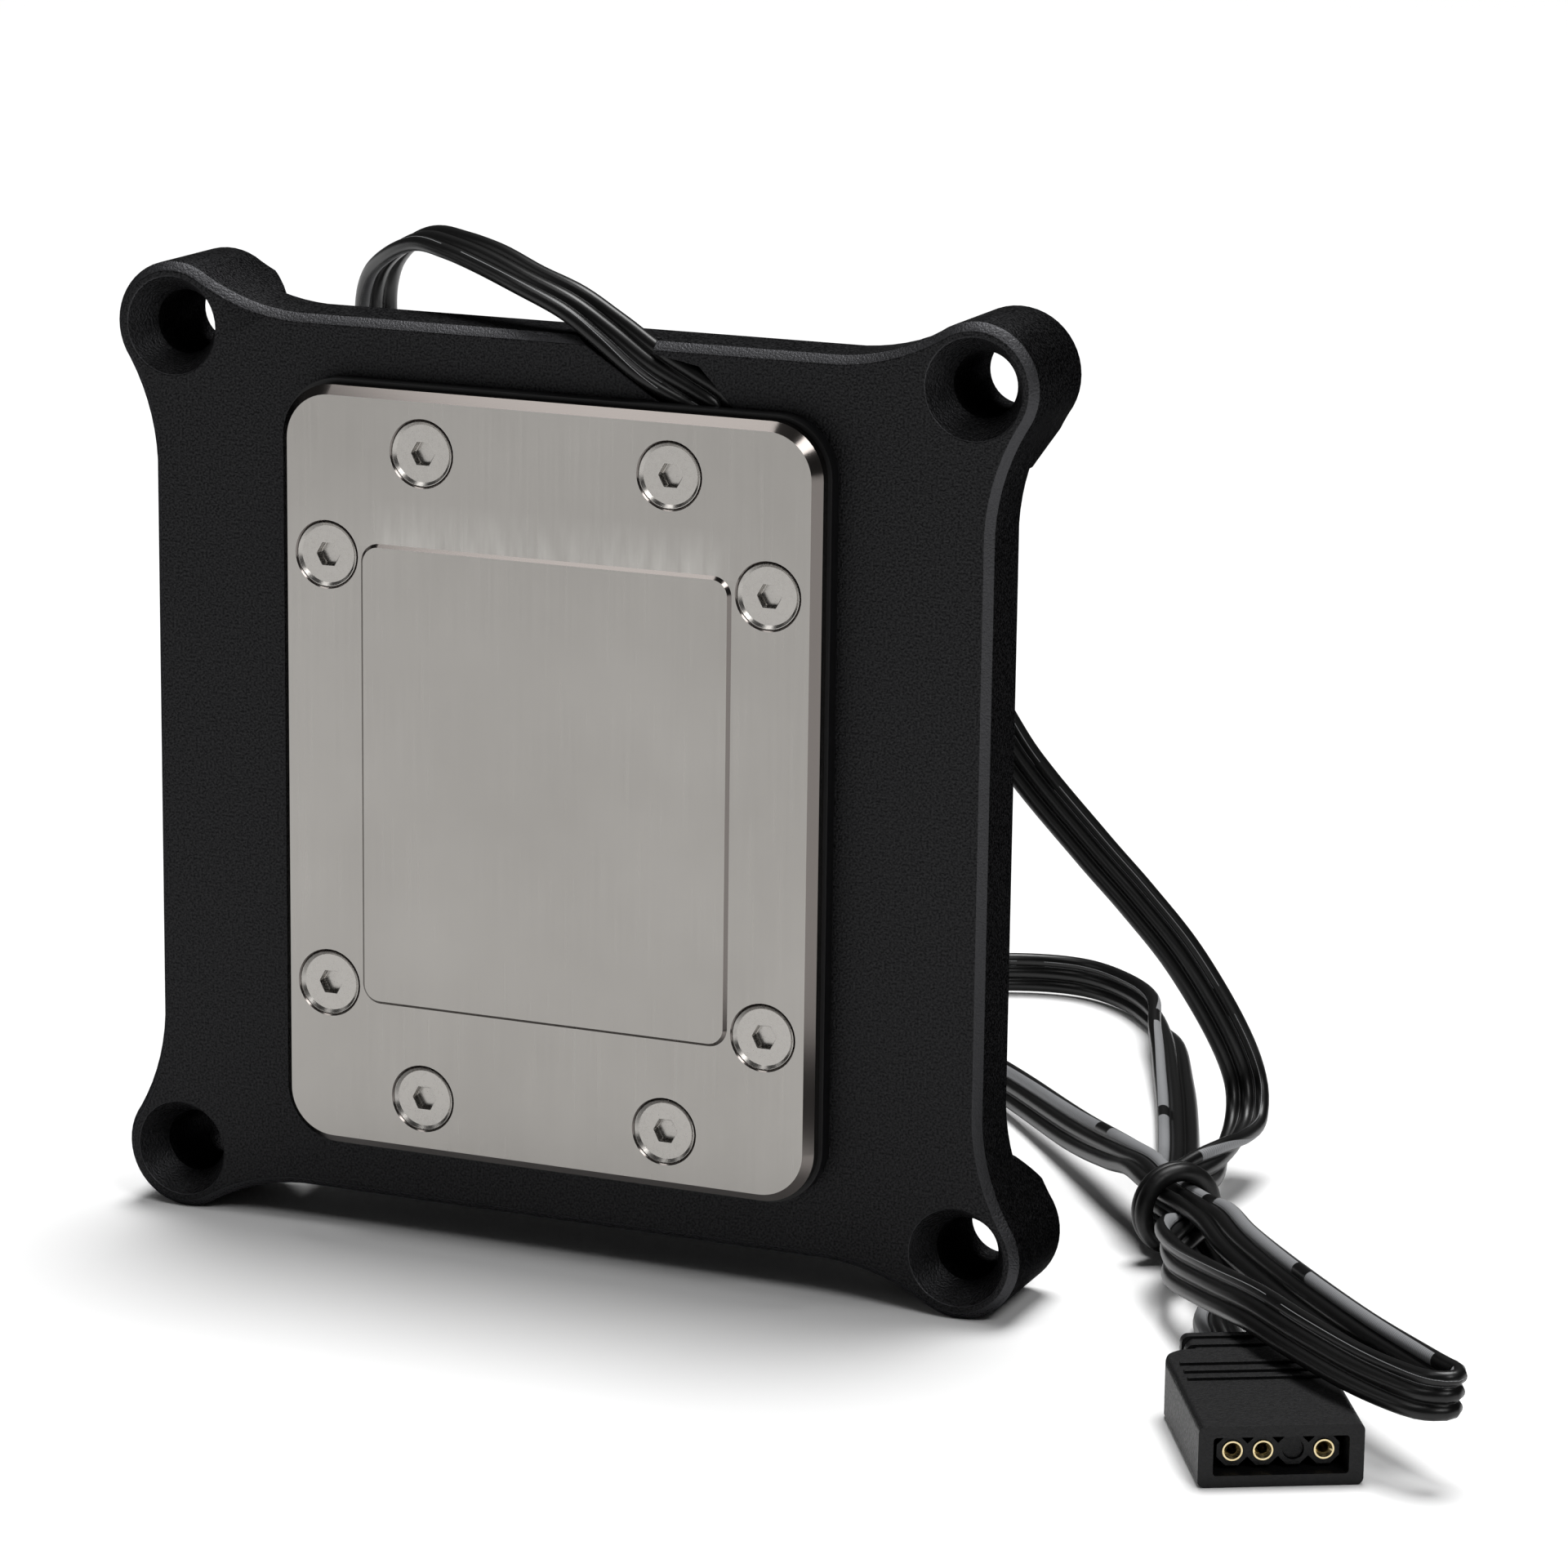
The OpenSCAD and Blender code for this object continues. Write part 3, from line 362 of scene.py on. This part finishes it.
def break_edges(name, width, flat_area, sunk=0):
    """Put a copy with rounded edges in a solid's place; faces past flat_area stay flat.
    A width of nothing leaves the edges as they are and smooths the round faces only."""
    solid = bmesh.new()
    solid.from_mesh(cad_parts[name].data)
    bmesh.ops.remove_doubles(solid, verts=solid.verts, dist=0.001 * MM)
    sharp = []
    if width:
        bmesh.ops.dissolve_limit(solid, angle_limit=ONE_FACE, use_dissolve_boundaries=False,
                                 verts=solid.verts, edges=solid.edges, delimit=set())
        if sunk:
            sink_heads(solid, sunk)
        sharp = [e for e in solid.edges if e.is_manifold and e.calc_face_angle() > BEVELLED]
        bmesh.ops.bevel(solid, geom=sharp, offset=width, offset_type="OFFSET", segments=2,
                        profile=0.5, affect="EDGES", clamp_overlap=True, material=-1)
    for face in solid.faces:
        face.smooth = face.calc_area() < flat_area
    for edge in solid.edges:
        edge.smooth = edge.is_manifold and edge.calc_face_angle() < SHADED_ROUND
    mesh = bpy.data.meshes.new(name + "_rounded")
    solid.to_mesh(mesh)
    solid.free()
    mesh.materials.append(None)
    piece = bpy.data.objects.new(name + "_rounded", mesh)
    bpy.context.collection.objects.link(piece)
    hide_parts(name)
    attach(piece, "root")
    rounded[name] = piece
    print(name, "has", len(sharp), "edges rounded,", len(mesh.polygons), "faces")


print("edges that turn by more than", round(math.degrees(BEVELLED)), "degrees are bevelled")

# %% The solids whose edges show
break_edges("cold_plate_screws", 0.07 * MM, 2 * MM ** 2, sunk=0.24 * MM)
break_edges("mounting_frame", 0.12 * MM, 60 * MM ** 2)
break_edges("cold_plate", 0, 1)
break_edges("connector_shell", 0.25 * MM, 1.5 * MM ** 2)

# %% [markdown]
# ## The tie
# A loop of rubbery cord, wound twice, holds the three passes of the lead together. A circle
# spun round an axis makes a ring, and a push along the axis during the spin makes it climb,
# so two turns come out as one coil whose ends tuck in beside each other. Its skin is worn and
# softly creased.

# %% The tie's finish
tie_pvc, tree, shader, coords = start_finish("moulded_soft_pvc", "#0a0a0a", 0.4, ior=1.54)
shader.inputs["Specular IOR Level"].default_value = 0.3
creases = add_node(tree, "ShaderNodeTexNoise", None, {
    "Vector": coords.outputs["Object"], "Scale": 1 / (1.6 * MM), "Detail": 4.0})
bump = add_node(tree, "ShaderNodeBump", None, {
    "Strength": 0.35, "Distance": 0.15 * MM, "Height": creases.outputs["Fac"]})
tree.links.new(bump.outputs[0], shader.inputs["Normal"])
worn = add_node(tree, "ShaderNodeMapRange", None, {
    "Value": creases.outputs["Fac"], **NOISE_RANGE, "To Min": 0.34, "To Max": 0.5})
tree.links.new(worn.outputs[0], shader.inputs["Roughness"])
print("finish:", tie_pvc.name)

# %% The tie, wound
TIE_AT, TIE_TURN = (51 * MM, 17 * MM, 4.75 * MM), -46.2
TIE_WIRE, TIE_BORE = 1.7 * MM, 5.4 * MM
TURNS, STEPS, CLIMB = 1.9, 108, 0.88 * TIE_WIRE
coil = bmesh.new()
cut = bmesh.ops.create_circle(coil, segments=16, radius=TIE_WIRE / 2, cap_ends=False)["verts"]
bmesh.ops.rotate(coil, verts=cut, cent=(0, 0, 0), matrix=Matrix.Rotation(math.radians(90), 3, "X"))
bmesh.ops.translate(coil, verts=cut, vec=((TIE_BORE + TIE_WIRE) / 2, 0, -CLIMB / 2))
bmesh.ops.spin(coil, geom=[*coil.verts, *coil.edges], cent=(0, 0, 0), axis=(0, 0, 1),
               angle=math.radians(360 * TURNS), dvec=(0, 0, CLIMB / STEPS), steps=STEPS,
               space=Matrix.Identity(4), use_merge=False, use_normal_flip=False,
               use_duplicate=False)
bmesh.ops.holes_fill(coil, edges=[e for e in coil.edges if e.is_boundary], sides=0)
stand_up = (Matrix.Translation(TIE_AT) @ Matrix.Rotation(math.radians(TIE_TURN), 4, "Z")
            @ Matrix.Rotation(math.radians(90), 4, "Y"))
bmesh.ops.transform(coil, matrix=stand_up, verts=coil.verts, space=Matrix.Identity(4))
bmesh.ops.recalc_face_normals(coil, faces=coil.faces)
for face in coil.faces:
    face.smooth = True
tie_mesh = bpy.data.meshes.new("wound_tie")
coil.to_mesh(tie_mesh)
coil.free()
tie_mesh.materials.append(tie_pvc)
tie = bpy.data.objects.new("wound_tie", tie_mesh)
bpy.context.collection.objects.link(tie)
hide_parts("cable_tie")
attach(tie, "root")
print("tie:", len(tie_mesh.polygons), "faces, box", [round(v / MM, 1) for v in tie.dimensions])

# %% [markdown]

# %% [markdown]
# ## Black anodised aluminium
# The frame is milled from plate, blasted with glass beads and anodised black. The beads leave
# dents of about a fifth of a millimetre, which break the light into a fine grain, and the
# dyed oxide skin is satin, never glossy. The dents are a noise of that size, which drives
# bump and roughness, and their tops are painted lighter as a painted glint. Chamfers and
# countersinks were cut by a tool and are painted a little brighter, a painted highlight for
# the light they catch. They are told apart by their slope, which is half way between two
# axes, where the square of Y in the normal is a half.

# %% Blasted and anodised
frame_anodised, tree, shader, coords = start_finish("blasted_anodised", "#2d2d2e", 0.5, 1.0)
shader.inputs["Specular Tint"].default_value = linear("#606060")
dents = add_node(tree, "ShaderNodeTexNoise", None, {
    "Vector": coords.outputs["Object"], "Scale": 1 / (0.21 * MM), "Detail": 1.0, "Roughness": 0.6})
bump = add_node(tree, "ShaderNodeBump", None, {
    "Strength": 0.8, "Distance": 0.09 * MM, "Height": dents.outputs["Fac"]})
tree.links.new(bump.outputs[0], shader.inputs["Normal"])
# the tops of the dents are painted lighter: a painted glint, where they catch more light than their
# bottoms
painted_glints = add_node(tree, "ShaderNodeMapRange", None, {
    "Value": dents.outputs["Fac"], "From Min": 0.34, "From Max": 0.7, "To Min": 0.0, "To Max": 1.0})
painted_glint_tint = add_node(tree, "ShaderNodeMix", {"data_type": "RGBA"}, {
    0: painted_glints.outputs[0], 6: linear("#1b1b1c"), 7: linear("#373738")})
satin = add_node(tree, "ShaderNodeMapRange", None, {
    "Value": dents.outputs["Fac"], **NOISE_RANGE, "To Min": 0.42, "To Max": 0.6})
tree.links.new(satin.outputs[0], shader.inputs["Roughness"])
print("finish:", frame_anodised.name)

# %% Its chamfers, with a painted highlight
facing = add_node(tree, "ShaderNodeSeparateXYZ", inputs={"Vector": coords.outputs["Normal"]})
squared = add_node(tree, "ShaderNodeMath", {"operation": "MULTIPLY"}, {
    0: facing.outputs["Y"], 1: facing.outputs["Y"]})
less_half = add_node(tree, "ShaderNodeMath", {"operation": "SUBTRACT"}, {
    0: squared.outputs[0], 1: 0.5})
off_slope = add_node(tree, "ShaderNodeMath", {"operation": "ABSOLUTE"}, {0: less_half.outputs[0]})
# chamfers and countersinks get a lighter grey: a painted highlight for the light they catch
painted_chamfer_highlight = add_node(tree, "ShaderNodeMapRange", None, {
    "Value": off_slope.outputs[0], "From Min": 0.15, "From Max": 0.4,
    "To Min": 0.75, "To Max": 0.0})
edged = add_node(tree, "ShaderNodeMix", {"data_type": "RGBA"}, {
    0: painted_chamfer_highlight.outputs[0], 6: painted_glint_tint.outputs[2], 7: linear("#49494b")})
tree.links.new(edged.outputs[2], shader.inputs["Base Color"])


def give_finish(material, *names):
    """Put a material on pieces, or on their rounded copies where there are any."""
    for name in names:
        for socket in rounded.get(name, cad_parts[name]).material_slots:
            socket.material = material
    print(material.name, "on", ", ".join(names))


give_finish(frame_anodised, "mounting_frame", "rear_cover")

# %% [markdown]
# ## Ground nickel plate
# The cold plate is copper, ground flat and plated with nickel. Grinding leaves very fine
# upright lines, and the plate shows soft cloudy patches where the plating is a little duller.
# Pale upright streaks are painted in the few millimetres above the raised area: a painted
# reflection of the light off its top edge. The chamfer was cut after the grinding: it is
# smoother, and darker where the copper shows through its thin plating. It is told apart by
# its slope: the face looks straight along -Y, so anything that doesn't is chamfer.

# %% The cold plate's face
nickel_plate, tree, shader, coords = start_finish("ground_nickel", "#9a9793", 0.3, 1.0)
upright = add_node(tree, "ShaderNodeMapping", None, {
    "Vector": coords.outputs["Object"], "Scale": (1 / (0.25 * MM), 1 / (0.25 * MM), 1 / (14 * MM))})
lines = add_node(tree, "ShaderNodeTexNoise", None, {
    "Vector": upright.outputs[0], "Scale": 1.0, "Detail": 3.0, "Roughness": 0.6})
clouds = add_node(tree, "ShaderNodeTexNoise", None, {
    "Vector": coords.outputs["Object"], "Scale": 1 / (16 * MM), "Detail": 3.0})
tone = add_node(tree, "ShaderNodeMix", {"data_type": "RGBA"}, {
    0: clouds.outputs["Fac"], 6: linear("#918e8a"), 7: linear("#a3a09c")})
print("finish:", nickel_plate.name)

# %% The painted reflection above the raised area
RAISED_HALF_HEIGHT, STREAK_LENGTH, STREAKED_HALF_WIDTH = 21.05 * MM, 4.5 * MM, 15.5 * MM
corners = [Vector(c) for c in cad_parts["cold_plate"].bound_box]
step_top = (min(c.z for c in corners) + max(c.z for c in corners)) / 2 + RAISED_HALF_HEIGHT
place = add_node(tree, "ShaderNodeSeparateXYZ", inputs={"Vector": coords.outputs["Object"]})
fading = add_node(tree, "ShaderNodeMapRange", None, {
    "Value": place.outputs["Z"], "From Min": step_top, "From Max": step_top + STREAK_LENGTH,
    "To Min": 1.0, "To Max": 0.0})
above = add_node(tree, "ShaderNodeMath", {"operation": "GREATER_THAN"}, {
    0: place.outputs["Z"], 1: step_top})
sideways = add_node(tree, "ShaderNodeMath", {"operation": "ABSOLUTE"}, {0: place.outputs["X"]})
within = add_node(tree, "ShaderNodeMapRange", None, {
    "Value": sideways.outputs[0], "From Min": STREAKED_HALF_WIDTH,
    "From Max": STREAKED_HALF_WIDTH + 3 * MM, "To Min": 1.0, "To Max": 0.0})
streak_way = add_node(tree, "ShaderNodeMapping", None, {
    "Vector": coords.outputs["Object"], "Scale": (1 / (0.8 * MM), 1 / MM, 1 / (5 * MM))})
streaks = add_node(tree, "ShaderNodeTexNoise", None, {
    "Vector": streak_way.outputs[0], "Scale": 1.0, "Detail": 3.0})
# the pale upright streaks are a painted reflection of the light off the raised area's top edge
painted_reflection = add_node(tree, "ShaderNodeMapRange", None, {
    "Value": streaks.outputs["Fac"], **NOISE_RANGE, "To Min": 0.08, "To Max": 0.36})
for limit in (fading, above, within):
    painted_reflection = add_node(tree, "ShaderNodeMath", {"operation": "MULTIPLY"}, {
        0: painted_reflection.outputs[0], 1: limit.outputs[0]})
plate_with_painted_reflection = add_node(tree, "ShaderNodeMix", {"data_type": "RGBA"}, {
    0: painted_reflection.outputs[0], 6: tone.outputs[2], 7: linear("#cfcdc9")})
print("the streaks begin at a height of", round(step_top / MM, 1), "mm")

# %% Its chamfer and its grinding lines
slope = add_node(tree, "ShaderNodeSeparateXYZ", inputs={"Vector": coords.outputs["Normal"]})
flat = add_node(tree, "ShaderNodeMapRange", None, {
    "Value": slope.outputs["Y"], "From Min": -0.98, "From Max": -0.8, "To Min": 1.0, "To Max": 0.0})
edged = add_node(tree, "ShaderNodeMix", {"data_type": "RGBA"}, {
    0: flat.outputs[0], 6: linear("#6e6966"), 7: plate_with_painted_reflection.outputs[2]})
tree.links.new(edged.outputs[2], shader.inputs["Base Color"])
ground = add_node(tree, "ShaderNodeMapRange", None, {
    "Value": lines.outputs["Fac"], **NOISE_RANGE, "To Min": 0.27, "To Max": 0.32})
rough = add_node(tree, "ShaderNodeMix", {"data_type": "FLOAT"}, {
    0: flat.outputs[0], 2: 0.16, 3: ground.outputs[0]})
tree.links.new(rough.outputs[0], shader.inputs["Roughness"])
depth = add_node(tree, "ShaderNodeMath", {"operation": "MULTIPLY"}, {
    0: lines.outputs["Fac"], 1: flat.outputs[0]})
bump = add_node(tree, "ShaderNodeBump", None, {
    "Strength": 0.05, "Distance": 0.01 * MM, "Height": depth.outputs[0]})
tree.links.new(bump.outputs[0], shader.inputs["Normal"])
give_finish(nickel_plate, "cold_plate")

# %% [markdown]
# ## Screws and small metal parts
# The cold plate's screws are steel with bright nickel on them: slightly brighter than the
# plate and smoother. The others are blackened. The inserts are turned brass, the jet plate is
# rolled stainless sheet, and the socket's contacts are gold over nickel.

# %% Screws
screw_steel, tree, shader, coords = start_finish("nickelled_steel", "#a4a19d", 0.25, 1.0)
scuffs = add_node(tree, "ShaderNodeTexNoise", None, {
    "Vector": coords.outputs["Object"], "Scale": 1 / (0.5 * MM), "Detail": 5.0, "Roughness": 0.7})
gleam = add_node(tree, "ShaderNodeMapRange", None, {
    "Value": scuffs.outputs["Fac"], **NOISE_RANGE, "To Min": 0.22, "To Max": 0.3})
tree.links.new(gleam.outputs[0], shader.inputs["Roughness"])
bump = add_node(tree, "ShaderNodeBump", None, {
    "Strength": 0.08, "Distance": 0.01 * MM, "Height": scuffs.outputs["Fac"]})
tree.links.new(bump.outputs[0], shader.inputs["Normal"])
give_finish(screw_steel, "cold_plate_screws")

screw_black, tree, shader, coords = start_finish("blackened_steel", "#262627", 0.38, 0.8)
oxide = add_node(tree, "ShaderNodeTexNoise", None, {
    "Vector": coords.outputs["Object"], "Scale": 1 / (0.7 * MM), "Detail": 4.0})
thin = add_node(tree, "ShaderNodeMix", {"data_type": "RGBA"}, {
    0: oxide.outputs["Fac"], 6: linear("#1d1d1e"), 7: linear("#323233")})
tree.links.new(thin.outputs[2], shader.inputs["Base Color"])
give_finish(screw_black, "port_block_screws", "cover_screws")

# %% Brass, steel sheet and gold
insert_brass, tree, shader, coords = start_finish("turned_brass", "#c3a05a", 0.3, 1.0)
turned = add_node(tree, "ShaderNodeTexWave", {"wave_type": "BANDS", "bands_direction": "Y"}, {
    "Vector": coords.outputs["Object"], "Scale": band_scale(0.2 * MM), "Distortion": 0.6})
bump = add_node(tree, "ShaderNodeBump", None, {
    "Strength": 0.3, "Distance": 0.02 * MM, "Height": turned.outputs["Fac"]})
tree.links.new(bump.outputs[0], shader.inputs["Normal"])
give_finish(insert_brass, "threaded_inserts")

jet_steel, tree, shader, coords = start_finish("rolled_stainless", "#b3b2af", 0.28, 1.0)
rolled = add_node(tree, "ShaderNodeMapping", None, {
    "Vector": coords.outputs["Object"], "Scale": (1 / (12 * MM), 1 / (0.2 * MM), 1 / (0.2 * MM))})
grain = add_node(tree, "ShaderNodeTexNoise", None, {
    "Vector": rolled.outputs[0], "Scale": 1.0, "Detail": 3.0})
drawn = add_node(tree, "ShaderNodeMapRange", None, {
    "Value": grain.outputs["Fac"], **NOISE_RANGE, "To Min": 0.22, "To Max": 0.36})
tree.links.new(drawn.outputs[0], shader.inputs["Roughness"])
give_finish(jet_steel, "jet_plate")

contact_gold, tree, shader, coords = start_finish("gold_over_nickel", "#d8c698", 0.2, 1.0)
wear = add_node(tree, "ShaderNodeTexNoise", None, {
    "Vector": coords.outputs["Object"], "Scale": 1 / (0.3 * MM), "Detail": 3.0})
plating = add_node(tree, "ShaderNodeMix", {"data_type": "RGBA"}, {
    0: wear.outputs["Fac"], 6: linear("#cdb680"), 7: linear("#e6dab8")})
tree.links.new(plating.outputs[2], shader.inputs["Base Color"])
give_finish(contact_gold, "connector_contacts")

# %% [markdown]
# ## The socket's plastic
# The socket is moulded from black nylon in a mould whose walls were spark-eroded, which
# leaves a texture of fine pits about a tenth of a millimetre across. They are drawn three
# times as wide, because finer ones wouldn't show in the picture.

# %% The socket
socket_plastic, tree, shader, coords = start_finish(
    "spark_textured_nylon", "#0f0f10", 0.48, ior=1.53)
shader.inputs["Specular IOR Level"].default_value = 0.25
pits = add_node(tree, "ShaderNodeTexNoise", None, {
    "Vector": coords.outputs["Object"], "Scale": 1 / (0.3 * MM), "Detail": 3.0, "Roughness": 0.65})
bump = add_node(tree, "ShaderNodeBump", None, {
    "Strength": 0.9, "Distance": 0.07 * MM, "Height": pits.outputs["Fac"]})
tree.links.new(bump.outputs[0], shader.inputs["Normal"])
matt = add_node(tree, "ShaderNodeMapRange", None, {
    "Value": pits.outputs["Fac"], **NOISE_RANGE, "To Min": 0.4, "To Max": 0.58})
tree.links.new(matt.outputs[0], shader.inputs["Roughness"])
give_finish(socket_plastic, "connector_shell", "connector_insert", "connector_key_plug")

# %% [markdown]
# ## The body and the port block
# The body is milled from black acetal, which is waxy and keeps the cutter's passes. The port
# block is clear cast acrylic, polished outside; light from the board runs through it. Acrylic
# has an index of 1.49 and a very faint cool tint where it is thick.

# %% Acetal and acrylic
body_acetal, tree, shader, coords = start_finish("milled_acetal", "#0c0c0d", 0.4, ior=1.48)
shader.inputs["Specular IOR Level"].default_value = 0.3
passes = add_node(tree, "ShaderNodeTexWave", {"wave_type": "BANDS", "bands_direction": "Z"}, {
    "Vector": coords.outputs["Object"], "Scale": band_scale(0.8 * MM), "Distortion": 0.8,
    "Detail": 2.0})
bump = add_node(tree, "ShaderNodeBump", None, {
    "Strength": 0.15, "Distance": 0.02 * MM, "Height": passes.outputs["Fac"]})
tree.links.new(bump.outputs[0], shader.inputs["Normal"])
give_finish(body_acetal, "block_body")

port_acrylic, tree, shader, coords = start_finish("cast_acrylic", "#eef3f4", 0.04, ior=1.49)
shader.inputs["Transmission Weight"].default_value = 1.0
polish = add_node(tree, "ShaderNodeTexNoise", None, {
    "Vector": coords.outputs["Object"], "Scale": 1 / (3 * MM), "Detail": 3.0})
haze = add_node(tree, "ShaderNodeMapRange", None, {
    "Value": polish.outputs["Fac"], **NOISE_RANGE, "To Min": 0.02, "To Max": 0.1})
tree.links.new(haze.outputs[0], shader.inputs["Roughness"])
give_finish(port_acrylic, "port_block")

# %% [markdown]
# ## Seals, flow insert and the light board
# The last pieces are hidden in use, and each still gets its own substance: nitrile rubber
# with a bloom on it, glass-filled nylon with a mottled flow, a black solder mask, the
# diodes' cream-coloured lenses and the ceramic of the capacitors.

# %% Seals and flow insert
seal_rubber, tree, shader, coords = start_finish("nitrile_rubber", "#1a1a1a", 0.6, ior=1.52)
bloom = add_node(tree, "ShaderNodeTexNoise", None, {
    "Vector": coords.outputs["Object"], "Scale": 1 / (2.5 * MM), "Detail": 5.0})
dusty = add_node(tree, "ShaderNodeMix", {"data_type": "RGBA"}, {
    0: bloom.outputs["Fac"], 6: linear("#151515"), 7: linear("#262626")})
tree.links.new(dusty.outputs[2], shader.inputs["Base Color"])
give_finish(seal_rubber, "chamber_seal", "channel_seals")

flow_plastic, tree, shader, coords = start_finish("glass_filled_nylon", "#d2d1cb", 0.5, ior=1.53)
fibres = add_node(tree, "ShaderNodeTexNoise", None, {
    "Vector": coords.outputs["Object"], "Scale": 1 / (1.2 * MM), "Detail": 6.0, "Distortion": 1.0})
mottled = add_node(tree, "ShaderNodeMix", {"data_type": "RGBA"}, {
    0: fibres.outputs["Fac"], 6: linear("#c6c4bd"), 7: linear("#dedcd6")})
tree.links.new(mottled.outputs[2], shader.inputs["Base Color"])
give_finish(flow_plastic, "flow_insert")

# %% The light board
board, tree, shader, coords = start_finish("black_solder_mask", "#101512", 0.35, ior=1.5)
weave = add_node(tree, "ShaderNodeTexWave", {"wave_type": "BANDS", "bands_direction": "DIAGONAL"}, {
    "Vector": coords.outputs["Object"], "Scale": band_scale(0.5 * MM)})
bump = add_node(tree, "ShaderNodeBump", None, {
    "Strength": 0.1, "Distance": 0.01 * MM, "Height": weave.outputs["Fac"]})
tree.links.new(bump.outputs[0], shader.inputs["Normal"])
give_finish(board, "led_board")

led_lens, tree, shader, coords = start_finish("cast_silicone_lens", "#e9e6da", 0.3, ior=1.41)
cloudy = add_node(tree, "ShaderNodeTexNoise", None, {
    "Vector": coords.outputs["Object"], "Scale": 1 / (1.5 * MM), "Detail": 3.0})
cream = add_node(tree, "ShaderNodeMix", {"data_type": "RGBA"}, {
    0: cloudy.outputs["Fac"], 6: linear("#dfdbc9"), 7: linear("#f0eee6")})
tree.links.new(cream.outputs[2], shader.inputs["Base Color"])
give_finish(led_lens, "led_packages")

capacitor, tree, shader, coords = start_finish("fired_ceramic", "#a58b68", 0.45, ior=1.6)
fired = add_node(tree, "ShaderNodeTexNoise", None, {
    "Vector": coords.outputs["Object"], "Scale": 1 / (0.4 * MM), "Detail": 3.0})
buff = add_node(tree, "ShaderNodeMix", {"data_type": "RGBA"}, {
    0: fired.outputs["Fac"], 6: linear("#977d5b"), 7: linear("#b49a76")})
tree.links.new(buff.outputs[2], shader.inputs["Base Color"])
give_finish(capacitor, "led_capacitors")

# %% [markdown]
# ## Floor and light
# The block stands on a plain white floor that fills the picture. Most of the light comes from
# a wide ceiling light that leans a little from behind, so the shadow gathers under the block
# and just in front of it. A softbox overhead makes the upward chamfers shine, a key softbox at
# the upper right lights the lower-left sides of the bores, and a weak one stands at the left.
# The white world only fills in, at a low strength. Together they light the floor to just
# white, so a colour comes out about as it is written.

# %% The floor
FLOOR_HALF_WIDTH = 6
floor_mesh = bpy.data.meshes.new("studio_floor")
sheet = bmesh.new()
bmesh.ops.create_grid(sheet, x_segments=1, y_segments=1, size=FLOOR_HALF_WIDTH)
# a hair below the block, so that the two don't share a plane
bmesh.ops.translate(sheet, verts=sheet.verts, vec=(0, 0, -0.02 * MM))
sheet.to_mesh(floor_mesh)
sheet.free()
floor_paint = start_finish("matt_white_paint", "#f4f4f4", 0.9)[0]
floor_mesh.materials.append(floor_paint)
floor = bpy.data.objects.new("studio_floor", floor_mesh)
bpy.context.collection.objects.link(floor)
print("floor:", floor.dimensions[:2])

# %% The softboxes
BLOCK_MIDDLE = Vector((0.02, 0, 0.04))


def soft_lamp(name, at, size, power):
    data = bpy.data.lights.new(name, "AREA")
    data.shape, data.size, data.energy = "DISK", size, power
    lamp = bpy.data.objects.new(name, data)
    lamp.location = at
    lamp.rotation_euler = (BLOCK_MIDDLE - Vector(at)).to_track_quat("-Z", "Y").to_euler()
    bpy.context.collection.objects.link(lamp)
    print(name, "at", at)


soft_lamp("key_softbox", (0.67, -0.52, 0.88), 0.42, 3.6)
soft_lamp("top_softbox", (-0.36, -0.26, 0.96), 0.34, 0.95)
soft_lamp("left_softbox", (-0.95, -0.35, 0.5), 0.4, 0.5)

# %% The ceiling light and the world
ceiling = bpy.data.lights.new("ceiling_light", "SUN")
ceiling.energy, ceiling.angle = 3.4, math.radians(30)
ceiling_lamp = bpy.data.objects.new("ceiling_light", ceiling)
ceiling_lamp.rotation_euler = (math.radians(-14), 0, 0)
bpy.context.collection.objects.link(ceiling_lamp)

studio = bpy.data.worlds.new("white_studio")
bpy.context.scene.world = studio
studio.use_nodes = True
background = studio.node_tree.nodes["Background"]
background.inputs["Color"].default_value = (1, 1, 1, 1)
background.inputs["Strength"].default_value = 0.05
bpy.context.scene.view_settings.view_transform = "Standard"
print("sun:", ceiling.energy, "world:", studio.name)
